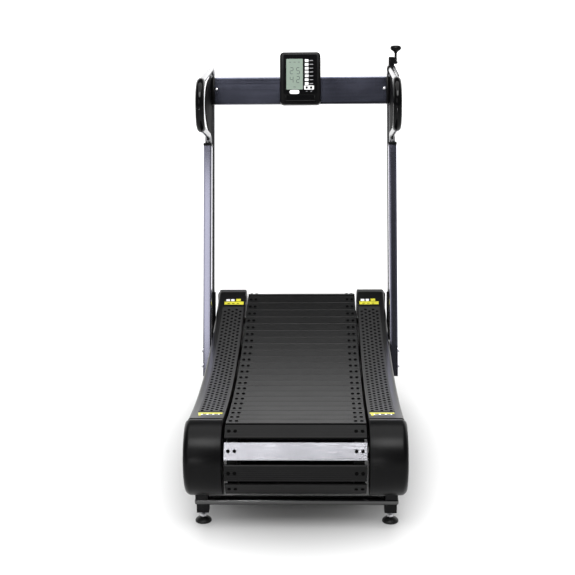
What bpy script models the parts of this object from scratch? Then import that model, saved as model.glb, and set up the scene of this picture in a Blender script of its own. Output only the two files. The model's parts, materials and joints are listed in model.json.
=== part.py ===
"""Curved manual treadmill: a slatted belt on a sagging deck, with handle loops and a console.

Metres, +Z up. X runs across the machine, +Y is the way the runner faces. The origin is on the
floor, midway between the two drum axles and on the centre line of the belt.
"""

import math

import bmesh
import bpy
from mathutils import Matrix, Vector

# Clearances
SEAT_GAP = 0.0003
RUNNING_GAP = 0.0005
BELT_SEAT_GAP = 0.0008
WELD_OVERLAP = 0.001

# Path of the running belt, measured on its pitch line
AXLE_SPAN = 1.300
REAR_AXLE_HEIGHT = 0.232
FRONT_AXLE_HEIGHT = 0.331
DECK_RADIUS = 3.000
RETURN_RADIUS = 7.000
DRUM_PITCH_RADIUS = 0.096

# Carrier belts and slats
BELT_THICKNESS = 0.005
BELT_WIDTH = 0.030
BELT_SETOUT = 0.200
BELT_JOINT_GAP = 0.003
SLAT_NOMINAL_PITCH = 0.060
SLAT_GAP = 0.0037
SLAT_WIDTH = 0.446
SLAT_TOP = 0.018
SLAT_PLATE = 0.007
SLAT_FOOT = 0.024
SLAT_PHASE = 0.005
ACCENT_SLAT = -2
SLAT_SINK = 0.0015
BELT_STEPS = {"top": 12, "front": 16, "bottom": 8, "rear": 16}

# Drums and bearings
SHAFT_RADIUS = 0.0125
PULLEY_WIDTH = 0.032
PULLEY_RIM = 0.012
PULLEY_WEB = 0.008
BEARING_RADIUS = 0.032
BEARING_WIDTH = 0.024

# Guide rollers under the running deck
ROLLER_RADIUS = 0.011
ROLLER_SPACING = 0.075
ROLLER_WIDTH = 0.033
ROLLER_END_MARGIN = 0.085
ROLLER_RAIL_WIDTH = 0.010
ROLLER_RAIL_DEPTH = 0.030
ROLLER_RAIL_DROP = 0.0045

# Side frames and cross tubes
FRAME_WIDTH = 0.040
FRAME_TOP_DROP = 0.010
FRAME_DEPTH = 0.130
FRAME_OVERHANG = 0.030
LEG_LENGTH = 0.050
CROSS_TUBE_SIZE = 0.040
CROSS_TUBE_WALL = 0.003
CROSS_TUBE_STATIONS = {"rear": -0.30, "front": 0.30}
END_TUBE_HEIGHT = 0.022
END_TUBE_FLOOR = 0.0625
END_TUBE_OVERHANG = 0.0034
REAR_LEG_SETBACK = 0.021
FRONT_LEG_SETBACK = 0.030

# Foot rails and end caps
SIDE_GAP = 0.0085
RAIL_WIDTH = 0.1135
RAIL_RISE = 0.0125
RAIL_WALL = 0.003
RAIL_LIP = 0.063
RAIL_EDGE = 0.010
CAP_PROUD = 0.003
CAP_OVERWIDTH = 0.007
CAP_EDGE = 0.018
CAP_JOINT = -0.008
CAP_LIFT = 0.004
CAP_OPENING_GAP = 0.003
FRAME_TO_WALL = 0.0154

# Levelling feet and transport wheels
FOOT_INSET = 0.0226
FOOT_PAD_RADIUS = 0.0265
FOOT_STUD_RADIUS = 0.006
FOOT_TRAVEL = 0.008
FOOT_HOLE_ROOF = 0.002
FOOT_BLOCK_SIZE = 0.040
FOOT_BLOCK_FLOOR = 0.036
WHEEL_RADIUS = 0.030
WHEEL_WIDTH = 0.022
WHEEL_INSET = 0.0366
WHEEL_LEAD = 0.062
WHEEL_FLOOR_GAP = 0.006
WHEEL_PIN_RADIUS = 0.005
WHEEL_EAR = 0.004

# Uprights
POST_WIDTH = 0.031
POST_DEPTH = 0.055
POST_WALL = 0.003
POST_LENGTH = 0.910
POST_LEAN = math.radians(17.0)
POST_STATION = 0.226
POST_DROP = 0.1129
POST_STANDOFF = 0.005
POST_PLUG = 0.004
COLLAR_HEIGHT = 0.012
COLLAR_PROUD = 0.001
COLLAR_BORE = 0.012
POST_BOLT_RISES = (0.045, 0.105)
BOLT_RADIUS = 0.006
BOLT_HEAD_RADIUS = 0.011
BOLT_HEAD_HEIGHT = 0.006
MOUNT_MARGIN = 0.016
MOUNT_DEPTH = 0.036

# Handle loops
TUBE_RADIUS = 0.0125
TUBE_WALL = 0.002
HANDLE_FOOT_STATION = 0.475
HANDLE_FOOT_DROP = 0.0833
HANDLE_FRONT = 0.249
HANDLE_FRONT_RISE = 0.291
HANDLE_REAR = -0.309
HANDLE_REAR_RISE = 0.254
HANDLE_LOW_RISE = 0.099
HANDLE_ENTRY = 0.034
BEND_FRONT = 0.036
BEND_GRIP_TOP = 0.085
BEND_GRIP_LOW = 0.060
BEND_ENTRY = 0.028
GRIP_WALL = 0.004
SOCKET_WALL = 0.004
SOCKET_LENGTH = 0.195
SOCKET_PLATE_GAP = 0.0025
SOCKET_PLATE_LENGTH = 0.070
SOCKET_PLATE_HEIGHT = 0.060
GUSSET_THICKNESS = 0.004
GUSSET_HEIGHT = 0.240
GUSSET_REACH = 0.285
GUSSET_DROP = 0.052

# Crossbar
CROSSBAR_HALF = 0.350
CROSSBAR_DEPTH = 0.023
CROSSBAR_HEIGHT = 0.110
CROSSBAR_WALL = 0.003
CROSSBAR_DROP = 0.110
CROSSBAR_TUBE_GAP = 0.0022

# Console
CONSOLE_WIDTH = 0.165
CONSOLE_HEIGHT = 0.213
CONSOLE_DEPTH = 0.032
CONSOLE_CORNER = 0.014
CONSOLE_EDGE = 0.005
CONSOLE_WALL = 0.004
CONSOLE_RISE = 0.042
CONSOLE_BRACKET = 0.010
CONSOLE_BRACKET_WIDTH = 0.090
CONSOLE_BRACKET_HEIGHT = 0.080
SCREEN_WIDTH = 0.067
SCREEN_HEIGHT = 0.125
SCREEN_ACROSS = -0.0228
SCREEN_UP = 0.0152
SCREEN_THICKNESS = 0.0018
BUTTON_PROUD = 0.0018
BUTTON_TRAVEL_ROOM = 0.006
START_BUTTON_WIDTH = 0.040
START_BUTTON_HEIGHT = 0.016
START_BUTTON_ACROSS = -0.0233
START_BUTTON_UP = -0.0575
SMALL_BUTTON_SIZE = 0.010
SMALL_BUTTON_ACROSS = 0.035
SMALL_BUTTON_SPREAD = 0.018
SMALL_BUTTON_UP = -0.0394

# Resistance lever, cable and magnetic brake
LEVER_STATION = 0.640
CLAMP_WALL = 0.005
CLAMP_LENGTH = 0.026
CLAMP_EAR_WIDTH = 0.022
CLAMP_EAR_HEIGHT = 0.030
LEVER_PIVOT_RISE = 0.026
LEVER_HALF_WIDTH = 0.007
LEVER_THICKNESS = 0.010
LEVER_LENGTH = 0.036
KNOB_RADIUS = 0.022
KNOB_HEIGHT = 0.030
DISC_RADIUS = 0.075
DISC_THICKNESS = 0.004
DISC_INSET = 0.005
MAGNET_GAP = 0.002
MAGNET_THICKNESS = 0.005
MAGNET_LENGTH = 0.030
CARRIER_THICKNESS = 0.004
CARRIER_PIVOT = Vector((-0.105, 0.035))
CARRIER_ARM = 0.052
CARRIER_WIDTH = 0.018
CABLE_RADIUS = 0.0025
CABLE_SIDE = "right"
CABLE_BEND = 0.018
CABLE_ENTRY = 0.045
CABLE_HOLE_GAP = 0.0022
CABLE_OUTLET_RISE = 0.139
CABLE_SLANT = 0.035
CABLE_CROSSING = 0.110
CABLE_INSET = 0.012
CABLE_END_GAP = 0.001

# Places worked out from the sizes above
REAR_AXLE = Vector((-AXLE_SPAN / 2, REAR_AXLE_HEIGHT))
FRONT_AXLE = Vector((AXLE_SPAN / 2, FRONT_AXLE_HEIGHT))
RAIL_INNER = SLAT_WIDTH / 2 + SIDE_GAP
RAIL_OUTER = RAIL_INNER + RAIL_WIDTH
FRAME_OUTER = RAIL_OUTER - RAIL_WALL - FRAME_TO_WALL
FRAME_INNER = FRAME_OUTER - FRAME_WIDTH
POST_INNER = RAIL_OUTER + POST_STANDOFF
POST_OUTER = POST_INNER + POST_WIDTH
LOOP_X = POST_INNER + POST_WIDTH / 2
RAIL_TOP = SLAT_TOP + RAIL_RISE
RAIL_FLOOR = RAIL_TOP - 2 * CAP_LIFT
CAP_RADIUS = DRUM_PITCH_RADIUS + RAIL_TOP + CAP_PROUD - CAP_LIFT
PULLEY_RADIUS = DRUM_PITCH_RADIUS - BELT_THICKNESS / 2 - BELT_SEAT_GAP
END_TUBE_TOP = END_TUBE_FLOOR + END_TUBE_HEIGHT
END_TUBE_REACH = FRAME_OUTER + END_TUBE_OVERHANG
FOOT_SETOUT = FRAME_OUTER - FOOT_INSET
FOOT_HOLE_TOP = END_TUBE_FLOOR - FOOT_HOLE_ROOF
FOOT_STUD_TOP = FOOT_HOLE_TOP - FOOT_TRAVEL - RUNNING_GAP
WHEEL_SETOUT = FRAME_INNER - WHEEL_INSET
GRIP_RADIUS = TUBE_RADIUS + GRIP_WALL
SOCKET_RADIUS = TUBE_RADIUS + SOCKET_WALL
SOCKET_PLATE = LOOP_X - RAIL_OUTER - TUBE_RADIUS - SOCKET_PLATE_GAP
CLAMP_RADIUS = TUBE_RADIUS + CLAMP_WALL
REAR_FOOT = REAR_AXLE.x + REAR_LEG_SETBACK
FRONT_FOOT = FRONT_AXLE.x - FRONT_LEG_SETBACK
DISC_X = RAIL_INNER + RAIL_WALL + DISC_INSET


def heading(vector):
    """Angle of a side-plane vector above the forward direction."""
    return math.atan2(vector.y, vector.x)


def polar(angle):
    """Unit side-plane vector at an angle above the forward direction."""
    return Vector((math.cos(angle), math.sin(angle)))


def centre_above(distance):
    """Point above the deck that is one distance from both axles."""
    half = (FRONT_AXLE - REAR_AXLE) / 2
    across = Vector((-half.y, half.x)).normalized()
    return REAR_AXLE + half + across * math.sqrt(distance**2 - half.length_squared)


class Run:
    """One arc of the belt's pitch line, travelled from its start angle to its end angle."""

    def __init__(self, centre, radius, start, end, outward):
        self.centre = centre
        self.radius = radius
        self.start = start
        self.sense = math.copysign(1.0, end - start)
        self.length = radius * abs(end - start)
        self.outward = outward

    def angle(self, distance):
        return self.start + self.sense * distance / self.radius

    def point(self, distance, offset=0.0):
        """Side-plane point at a distance along the run, offset away from the belt's inside."""
        return self.centre + polar(self.angle(distance)) * (self.radius + self.outward * offset)

    def normal(self, distance):
        return polar(self.angle(distance)) * self.outward

    def distance_at(self, station):
        """Distance along the run where it is at a station along Y."""
        low, high = 0.0, self.length
        rising = self.point(high).x > self.point(low).x
        for _ in range(50):
            middle = (low + high) / 2
            if (self.point(middle).x < station) == rising:
                low = middle
            else:
                high = middle
        return (low + high) / 2

    def strip(self, first, last, inner, outer, steps):
        """Outline of the band between two offsets and two distances."""
        stops = [first + (last - first) * step / steps for step in range(steps + 1)]
        near = [self.point(stop, inner) for stop in stops]
        far = [self.point(stop, outer) for stop in reversed(stops)]
        return near + far


DECK_CENTRE = centre_above(DECK_RADIUS + DRUM_PITCH_RADIUS)
RETURN_CENTRE = centre_above(RETURN_RADIUS - DRUM_PITCH_RADIUS)
TOP_RUN = Run(
    DECK_CENTRE,
    DECK_RADIUS,
    heading(REAR_AXLE - DECK_CENTRE),
    heading(FRONT_AXLE - DECK_CENTRE),
    -1,
)
FRONT_RUN = Run(
    FRONT_AXLE,
    DRUM_PITCH_RADIUS,
    heading(DECK_CENTRE - FRONT_AXLE),
    heading(FRONT_AXLE - RETURN_CENTRE),
    1,
)
BOTTOM_RUN = Run(
    RETURN_CENTRE,
    RETURN_RADIUS,
    heading(FRONT_AXLE - RETURN_CENTRE),
    heading(REAR_AXLE - RETURN_CENTRE),
    1,
)
REAR_RUN = Run(
    REAR_AXLE,
    DRUM_PITCH_RADIUS,
    heading(REAR_AXLE - RETURN_CENTRE),
    heading(DECK_CENTRE - REAR_AXLE) - math.tau,
    1,
)
RUNS = {"top": TOP_RUN, "front": FRONT_RUN, "bottom": BOTTOM_RUN, "rear": REAR_RUN}
BELT_LENGTH = sum(run.length for run in RUNS.values())
SLAT_COUNT = round(BELT_LENGTH / SLAT_NOMINAL_PITCH)
SLAT_PITCH = BELT_LENGTH / SLAT_COUNT


def deck_height(station, offset=0.0):
    """Height of the deck's pitch line, or a line offset from it, at a station along Y."""
    reach = DECK_RADIUS - offset
    return DECK_CENTRE.y - math.sqrt(reach**2 - (station - DECK_CENTRE.x) ** 2)


def return_height(station, offset=0.0):
    """Height of the belt's return run, or a line offset below it, at a station along Y."""
    reach = RETURN_RADIUS + offset
    return RETURN_CENTRE.y - math.sqrt(reach**2 - (station - RETURN_CENTRE.x) ** 2)


def deck_line(first, last, offset, steps):
    """Points along a line offset from the deck, between two stations."""
    stations = [first + (last - first) * step / steps for step in range(steps + 1)]
    return [Vector((station, deck_height(station, offset))) for station in stations]


def return_line(first, last, offset, steps):
    """Points along a line offset below the return run, between two stations."""
    stations = [first + (last - first) * step / steps for step in range(steps + 1)]
    return [Vector((station, return_height(station, offset))) for station in stations]


def arc(centre, radius, start, end, steps):
    """Side-plane points along an arc, both ends included."""
    return [centre + polar(start + (end - start) * step / steps) * radius for step in range(steps + 1)]


def rounded(points, radii, steps=5):
    """Polyline whose inner corners are arcs of the given radii."""
    path = [points[0]]
    for before, corner, after, radius in zip(points, points[1:], points[2:], radii):
        into = (corner - before).normalized()
        out = (after - corner).normalized()
        turn = into.angle(out)
        reach = radius * math.tan(turn / 2)
        centre = corner + (out - into).normalized() * radius / math.cos(turn / 2)
        first = corner - into * reach - centre
        last = corner + out * reach - centre
        for step in range(steps + 1):
            share = step / steps
            weight = math.sin((1 - share) * turn)
            path.append(centre + (first * weight + last * math.sin(share * turn)) / math.sin(turn))
    return path + [points[-1]]


def prism(bm, outline, near, far):
    """Side-plane outline drawn out across the machine from one X to another."""
    face = bm.faces.new([bm.verts.new((near, point[0], point[1])) for point in outline])
    extruded = bmesh.ops.extrude_face_region(bm, geom=[face])["geom"]
    moved = [item for item in extruded if isinstance(item, bmesh.types.BMVert)]
    bmesh.ops.translate(bm, verts=moved, vec=(far - near, 0, 0))
    return list(face.verts) + moved


def soften_side(bm, side, width, keep_station=None):
    """Rounds the edges of one X side, apart from those lying on a joint plane at a station."""

    def on_side(edge):
        ends = [vert.co for vert in edge.verts]
        if any(abs(end.x - side) > 1e-6 for end in ends):
            return False
        return keep_station is None or any(abs(end.y - keep_station) > 1e-6 for end in ends)

    edges = [edge for edge in bm.edges if on_side(edge)]
    bmesh.ops.bevel(
        bm, geom=edges, offset=width, segments=3, profile=0.5, affect="EDGES", material=-1, clamp_overlap=True
    )


def box(bm, low, high):
    """Box between two corners."""
    low, high = Vector(low), Vector(high)
    placing = Matrix.Translation((low + high) / 2) @ Matrix.Diagonal((*(high - low), 1))
    return bmesh.ops.create_cube(bm, size=1, matrix=placing)["verts"]


def rod(bm, start, end, radius, sides):
    """Round bar between two points."""
    start, end = Vector(start), Vector(end)
    turning = (end - start).to_track_quat("Z", "Y").to_matrix().to_4x4()
    placing = Matrix.Translation((start + end) / 2) @ turning
    made = bmesh.ops.create_cone(
        bm,
        cap_ends=True,
        segments=sides,
        radius1=radius,
        radius2=radius,
        depth=(end - start).length,
        matrix=placing,
    )
    return made["verts"]


def turned(bm, profile, start, axis, sides):
    """Turned piece: (radius, distance) points spun about an axis through its start point.

    A profile that begins and ends on the axis gives a solid, and any other is closed to a ring.
    """
    start, axis = Vector(start), Vector(axis).normalized()
    radial = axis.orthogonal().normalized()
    verts = [bm.verts.new(start + radial * radius + axis * along) for radius, along in profile]
    pairs = list(zip(verts, verts[1:]))
    if profile[0][0] > 0:
        pairs.append((verts[-1], verts[0]))
    edges = [bm.edges.new(pair) for pair in pairs]
    bmesh.ops.spin(
        bm, geom=verts + edges, cent=start, axis=axis, angle=math.tau, steps=sides, use_merge=True
    )


def ring(bm, start, end, outer, inner, sides):
    """Straight sleeve between two points."""
    along = Vector(end) - Vector(start)
    profile = [(outer, 0), (outer, along.length), (inner, along.length), (inner, 0)]
    turned(bm, profile, start, along, sides)


def box_tube(bm, outer, inner, length, placing):
    """Rectangular tube: outer and inner (X, Y) sizes, drawn along local Z by its length."""

    def corners(size):
        half_x, half_y = size[0] / 2, size[1] / 2
        signs = ((1, 1), (-1, 1), (-1, -1), (1, -1))
        return [bm.verts.new((half_x * x, half_y * y, 0)) for x, y in signs]

    outside, inside = corners(outer), corners(inner)
    loop = [(index, (index + 1) % 4) for index in range(4)]
    faces = [bm.faces.new((outside[i], outside[j], inside[j], inside[i])) for i, j in loop]
    extruded = bmesh.ops.extrude_face_region(bm, geom=faces)["geom"]
    moved = [item for item in extruded if isinstance(item, bmesh.types.BMVert)]
    bmesh.ops.translate(bm, verts=moved, vec=(0, 0, length))
    bmesh.ops.transform(bm, matrix=placing, verts=outside + inside + moved)


def bent_tube(bm, across, path, outer, inner, sides):
    """Round tube along a side-plane path, open at both ends."""
    rings = []
    for index, point in enumerate(path):
        before, after = path[max(index - 1, 0)], path[min(index + 1, len(path) - 1)]
        along = (after - before).normalized()
        normal = Vector((-along.y, along.x))
        loops = []
        for radius in (outer, inner):
            spots = [math.tau * side / sides for side in range(sides)]
            flat = [point + normal * math.sin(spot) * radius for spot in spots]
            loops.append(
                [bm.verts.new((across + math.cos(s) * radius, f.x, f.y)) for s, f in zip(spots, flat)]
            )
        rings.append(loops)
    around = [(side, (side + 1) % sides) for side in range(sides)]
    for first, last in zip(rings, rings[1:]):
        for layer in (0, 1):
            for i, j in around:
                bm.faces.new((first[layer][i], first[layer][j], last[layer][j], last[layer][i]))
    for end in (rings[0], rings[-1]):
        for i, j in around:
            bm.faces.new((end[0][i], end[0][j], end[1][j], end[1][i]))


def finish(name, colour, roughness, metallic=0.0):
    """Plain Principled material."""
    made = bpy.data.materials.new(name)
    made.use_nodes = True
    shader = made.node_tree.nodes["Principled BSDF"]
    shader.inputs["Base Color"].default_value = (*colour, 1)
    shader.inputs["Roughness"].default_value = roughness
    shader.inputs["Metallic"].default_value = metallic
    made.diffuse_color = (*colour, 1)
    return made


def add_part(name, bm, material, pivot=(0, 0, 0)):
    """Makes the named object, with its origin at the pivot."""
    bmesh.ops.remove_doubles(bm, verts=bm.verts, dist=1e-6)
    bmesh.ops.recalc_face_normals(bm, faces=bm.faces)
    bmesh.ops.translate(bm, verts=bm.verts, vec=-Vector(pivot))
    mesh = bpy.data.meshes.new(name)
    bm.to_mesh(mesh)
    bm.free()
    mesh.materials.append(material)
    mesh.shade_smooth()
    mesh.set_sharp_from_angle(angle=math.radians(35))
    made = bpy.data.objects.new(name, mesh)
    made.location = pivot
    bpy.context.collection.objects.link(made)
    return made


def combine(target, label, bm, operation):
    """Adds a live Boolean of a part with the shapes in a mesh, kept as a hidden tool object."""
    bmesh.ops.recalc_face_normals(bm, faces=bm.faces)
    mesh = bpy.data.meshes.new(f"{target.name}_{label}")
    bm.to_mesh(mesh)
    bm.free()
    tool = bpy.data.objects.new(mesh.name, mesh)
    tool.hide_render = True
    tool.display_type = "WIRE"
    bpy.context.collection.objects.link(tool)
    boolean = target.modifiers.new(label, "BOOLEAN")
    boolean.operation = operation
    boolean.solver = "EXACT"
    boolean.object = tool


def cut(target, label, bm):
    """Cuts the shapes in a mesh out of a part."""
    combine(target, label, bm, "DIFFERENCE")


def weld(target, label, bm):
    """Joins the shapes in a mesh to a part that they reach into."""
    combine(target, label, bm, "UNION")


def world(side_point, across=0.0):
    """World position of a side-plane point."""
    return Vector((across, side_point.x, side_point.y))


SIDES = {"left": -1, "right": 1}


# ---------------------------------------------------------------- frame


def leg_stations():
    """First and last station of the rear leg and of the front leg."""
    return [(foot - LEG_LENGTH / 2, foot + LEG_LENGTH / 2) for foot in (REAR_FOOT, FRONT_FOOT)]


def side_frame_outline():
    """Side view of a side frame: a curved box beam with a leg at each end."""
    rear, front = REAR_AXLE.x - FRAME_OVERHANG, FRONT_AXLE.x + FRAME_OVERHANG
    low = -FRAME_TOP_DROP - FRAME_DEPTH
    (rear_leg, rear_leg_end), (front_leg, front_leg_end) = leg_stations()
    floor = END_TUBE_TOP + SEAT_GAP
    outline = deck_line(rear, front, -FRAME_TOP_DROP, 16)
    outline += deck_line(front, front_leg_end, low, 1)
    outline += [Vector((front_leg_end, floor)), Vector((front_leg, floor))]
    outline += deck_line(front_leg, rear_leg_end, low, 14)
    outline += [Vector((rear_leg_end, floor)), Vector((rear_leg, floor))]
    return outline + deck_line(rear_leg, rear, low, 1)


def post_placing():
    """Frame of the upright: local Z up its axis, local Y forward, origin at its lower end."""
    foot = Vector((POST_STATION, deck_height(POST_STATION) - POST_DROP))
    turning = Matrix.Rotation(-POST_LEAN, 4, "X")
    return Matrix.Translation(world(foot)) @ turning @ Matrix.Translation((0, POST_DEPTH / 2, 0))


def post_bolt_centres():
    """Side-plane centres of the bolts that hold an upright to its side frame."""
    spots = [post_placing() @ Vector((0, 0, rise)) for rise in POST_BOLT_RISES]
    return [Vector((spot.y, spot.z)) for spot in spots]


def bolt_holes(side, radius, near, far):
    """Cutter for the upright's bolts, between two distances from the centre line."""
    bm = bmesh.new()
    for centre in post_bolt_centres():
        rod(bm, world(centre, side * near), world(centre, side * far), radius, 12)
    return bm


def build_side_frames(steel):
    for name, side in SIDES.items():
        bm = bmesh.new()
        prism(bm, side_frame_outline(), side * FRAME_INNER, side * FRAME_OUTER)
        frame = add_part(f"{name}_side_frame", bm, steel)
        holes = bolt_holes(side, BOLT_RADIUS + SEAT_GAP, FRAME_INNER + 0.005, FRAME_OUTER + 0.01)
        cut(frame, "bolt_holes", holes)


def foot_block_holes(station):
    """Cutter for the studs of the two feet under an end cross tube."""
    bm = bmesh.new()
    for side in SIDES.values():
        spot = Vector((side * FOOT_SETOUT, station, 0))
        low = spot + Vector((0, 0, FOOT_BLOCK_FLOOR - 0.01))
        high = spot + Vector((0, 0, FOOT_HOLE_TOP))
        rod(bm, low, high, FOOT_STUD_RADIUS + RUNNING_GAP, 12)
    return bm


def foot_blocks(station):
    """Blocks under an end cross tube that take the studs of its two feet."""
    bm = bmesh.new()
    half = FOOT_BLOCK_SIZE / 2
    for side in SIDES.values():
        centre = side * FOOT_SETOUT
        low = (centre - half, station - half + WELD_OVERLAP, FOOT_BLOCK_FLOOR)
        box(bm, low, (centre + half, station + half - WELD_OVERLAP, END_TUBE_FLOOR + WELD_OVERLAP))
    return bm


def wheel_axle():
    return Vector((FRONT_FOOT + WHEEL_LEAD, WHEEL_RADIUS + WHEEL_FLOOR_GAP))


def wheel_ears():
    """Ears on the front cross tube, one on each side of each transport wheel."""
    bm = bmesh.new()
    axle = wheel_axle()
    rear = FRONT_FOOT + CROSS_TUBE_SIZE / 2 - WELD_OVERLAP
    high, low = END_TUBE_TOP - WELD_OVERLAP, END_TUBE_FLOOR + WELD_OVERLAP
    outline = [Vector((rear, high)), Vector((rear, low))]
    outline += arc(axle, 0.012, -math.pi / 2 - 0.6, math.pi / 2 - 0.6, 6)
    outline += [Vector((axle.x - 0.02, high))]
    for side in SIDES.values():
        for ear in (-1, 1):
            near = side * WHEEL_SETOUT + ear * (WHEEL_WIDTH / 2 + RUNNING_GAP)
            prism(bm, outline, near, near + ear * WHEEL_EAR)
    return bm


def wheel_pins():
    """Pins between the ears, which reach into both."""
    bm = bmesh.new()
    reach = WHEEL_WIDTH / 2 + RUNNING_GAP + WELD_OVERLAP
    for side in SIDES.values():
        middle = side * WHEEL_SETOUT
        ends = [world(wheel_axle(), middle + step * reach) for step in (-1, 1)]
        rod(bm, *ends, WHEEL_PIN_RADIUS, 12)
    return bm


def build_end_cross_tubes(steel):
    outer = (END_TUBE_HEIGHT, CROSS_TUBE_SIZE)
    inner = (END_TUBE_HEIGHT - 2 * CROSS_TUBE_WALL, CROSS_TUBE_SIZE - 2 * CROSS_TUBE_WALL)
    for name, station in (("rear", REAR_FOOT), ("front", FRONT_FOOT)):
        bm = bmesh.new()
        placing = Matrix.Translation((-END_TUBE_REACH, station, END_TUBE_FLOOR + END_TUBE_HEIGHT / 2))
        box_tube(bm, outer, inner, 2 * END_TUBE_REACH, placing @ Matrix.Rotation(math.pi / 2, 4, "Y"))
        tube = add_part(f"{name}_cross_tube", bm, steel)
        weld(tube, "foot_blocks", foot_blocks(station))
        if name == "front":
            weld(tube, "wheel_ears", wheel_ears())
            weld(tube, "wheel_pins", wheel_pins())
        cut(tube, "stud_holes", foot_block_holes(station))


def build_middle_cross_tubes(steel):
    drop = ROLLER_RAIL_DROP + ROLLER_RAIL_DEPTH + SEAT_GAP + CROSS_TUBE_SIZE / 2
    reach = FRAME_INNER - SEAT_GAP
    inner = CROSS_TUBE_SIZE - 2 * CROSS_TUBE_WALL
    for name, station in CROSS_TUBE_STATIONS.items():
        bm = bmesh.new()
        distance = TOP_RUN.distance_at(station)
        slope = heading(TOP_RUN.normal(distance)) - math.pi / 2
        turning = Matrix.Rotation(slope, 4, "X") @ Matrix.Rotation(math.pi / 2, 4, "Y")
        placing = Matrix.Translation(world(TOP_RUN.point(distance, -drop), -reach)) @ turning
        box_tube(bm, (CROSS_TUBE_SIZE, CROSS_TUBE_SIZE), (inner, inner), 2 * reach, placing)
        add_part(f"{name}_middle_tube", bm, steel)


def build_roller_banks(steel):
    """Rails inside the belt loop with the guide rollers that the running deck rests on."""
    first, last = ROLLER_END_MARGIN, TOP_RUN.length - ROLLER_END_MARGIN
    count = round((last - first) / ROLLER_SPACING)
    inner_end = BELT_SETOUT - ROLLER_WIDTH / 2
    outer_end = inner_end + ROLLER_WIDTH
    drop = BELT_THICKNESS / 2 + SEAT_GAP + ROLLER_RADIUS
    rail_drop = ROLLER_RAIL_DROP + ROLLER_RAIL_DEPTH
    margin = 1.5 * ROLLER_RADIUS
    outline = TOP_RUN.strip(first - margin, last + margin, -rail_drop, -ROLLER_RAIL_DROP, 16)
    for name, side in SIDES.items():
        rail, rollers = bmesh.new(), bmesh.new()
        prism(rail, outline, side * outer_end, side * (outer_end + ROLLER_RAIL_WIDTH))
        for index in range(count + 1):
            centre = TOP_RUN.point(first + (last - first) * index / count, -drop)
            start, end = world(centre, side * inner_end), world(centre, side * (outer_end + WELD_OVERLAP))
            rod(rollers, start, end, ROLLER_RADIUS, 8)
        bank = add_part(f"{name}_roller_bank", rail, steel)
        weld(bank, "rollers", rollers)


# ---------------------------------------------------------------- belt and drums


def slat_section():
    """Side view of a slat at rest on the pitch line: a plate over a narrower foot."""
    half, foot = (SLAT_PITCH - SLAT_GAP) / 2, SLAT_FOOT / 2
    under, floor = SLAT_TOP - SLAT_PLATE, BELT_THICKNESS / 2 - SLAT_SINK
    section = [(-half, SLAT_TOP), (-half, under), (-foot, under), (-foot, floor)]
    return section + [(-across, up) for across, up in reversed(section)]


def run_at(travelled):
    """Name of the run that holds a distance round the loop, and the distance along it."""
    for name, run in RUNS.items():
        if travelled < run.length:
            return name, travelled
        travelled -= run.length
    return name, run.length


def add_slat(bm, travelled, section):
    """One slat at a distance round the loop."""
    name, distance = run_at(travelled)
    run = RUNS[name]
    verts = prism(bm, section, -SLAT_WIDTH / 2, SLAT_WIDTH / 2)
    turning = Matrix.Rotation(heading(run.normal(distance)) - math.pi / 2, 4, "X")
    bmesh.ops.transform(bm, matrix=Matrix.Translation(world(run.point(distance))) @ turning, verts=verts)


def slat_distances():
    """Distance of each slat round the loop, the accent slat's first."""
    indices = range(ACCENT_SLAT, ACCENT_SLAT + SLAT_COUNT)
    return [(SLAT_PHASE + index * SLAT_PITCH) % BELT_LENGTH for index in indices]


def carrier_belts(name):
    """The two rubber belts of one run, which end halfway between its slats and the next run's."""
    bm = bmesh.new()
    half, reach = BELT_THICKNESS / 2, (SLAT_PITCH - BELT_JOINT_GAP) / 2
    stops = [run_at(travelled)[1] for travelled in slat_distances() if run_at(travelled)[0] == name]
    outline = RUNS[name].strip(min(stops) - reach, max(stops) + reach, -half, half, BELT_STEPS[name])
    for side in SIDES.values():
        near = side * (BELT_SETOUT - BELT_WIDTH / 2)
        prism(bm, outline, near, near + side * BELT_WIDTH)
    return bm


def build_slat_belt(slat_finish, accent_finish):
    """The loop as four runs, each with its slats fixed to both belts, and the accent slat."""
    accent_distance, *others = slat_distances()
    for name, run in RUNS.items():
        slats = bmesh.new()
        for travelled in others:
            if run_at(travelled)[0] == name:
                add_slat(slats, travelled, slat_section())
        belt = add_part(f"slat_belt_{name}", slats, slat_finish, world(run.centre))
        weld(belt, "carrier_belts", carrier_belts(name))
    accent = bmesh.new()
    seat = BELT_THICKNESS / 2 + BELT_SEAT_GAP
    section = [(across, max(up, seat)) for across, up in slat_section()]
    add_slat(accent, accent_distance, section)
    add_part("accent_slat", accent, accent_finish, world(REAR_AXLE))


def pulley_profile():
    """Half section of a belt pulley with a thin web, sunk into its shaft."""
    half, web = PULLEY_WIDTH / 2, PULLEY_WEB / 2
    rim = PULLEY_RADIUS - PULLEY_RIM
    bore = SHAFT_RADIUS - 2 * WELD_OVERLAP
    edge = [(bore, web), (rim, web), (rim, half), (PULLEY_RADIUS, half)]
    return edge + [(radius, -along) for radius, along in reversed(edge)]


def build_drums(steel):
    """A shaft with a pulley for each belt, at both ends of the deck."""
    reach = FRAME_INNER - 0.002
    for name, axle in (("rear", REAR_AXLE), ("front", FRONT_AXLE)):
        shaft, pulleys = bmesh.new(), bmesh.new()
        rod(shaft, world(axle, -reach), world(axle, reach), SHAFT_RADIUS, 16)
        drum = add_part(f"{name}_drum", shaft, steel, world(axle))
        for side in SIDES.values():
            turned(pulleys, pulley_profile(), world(axle, side * BELT_SETOUT), (1, 0, 0), 24)
        weld(drum, "pulleys", pulleys)


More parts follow.
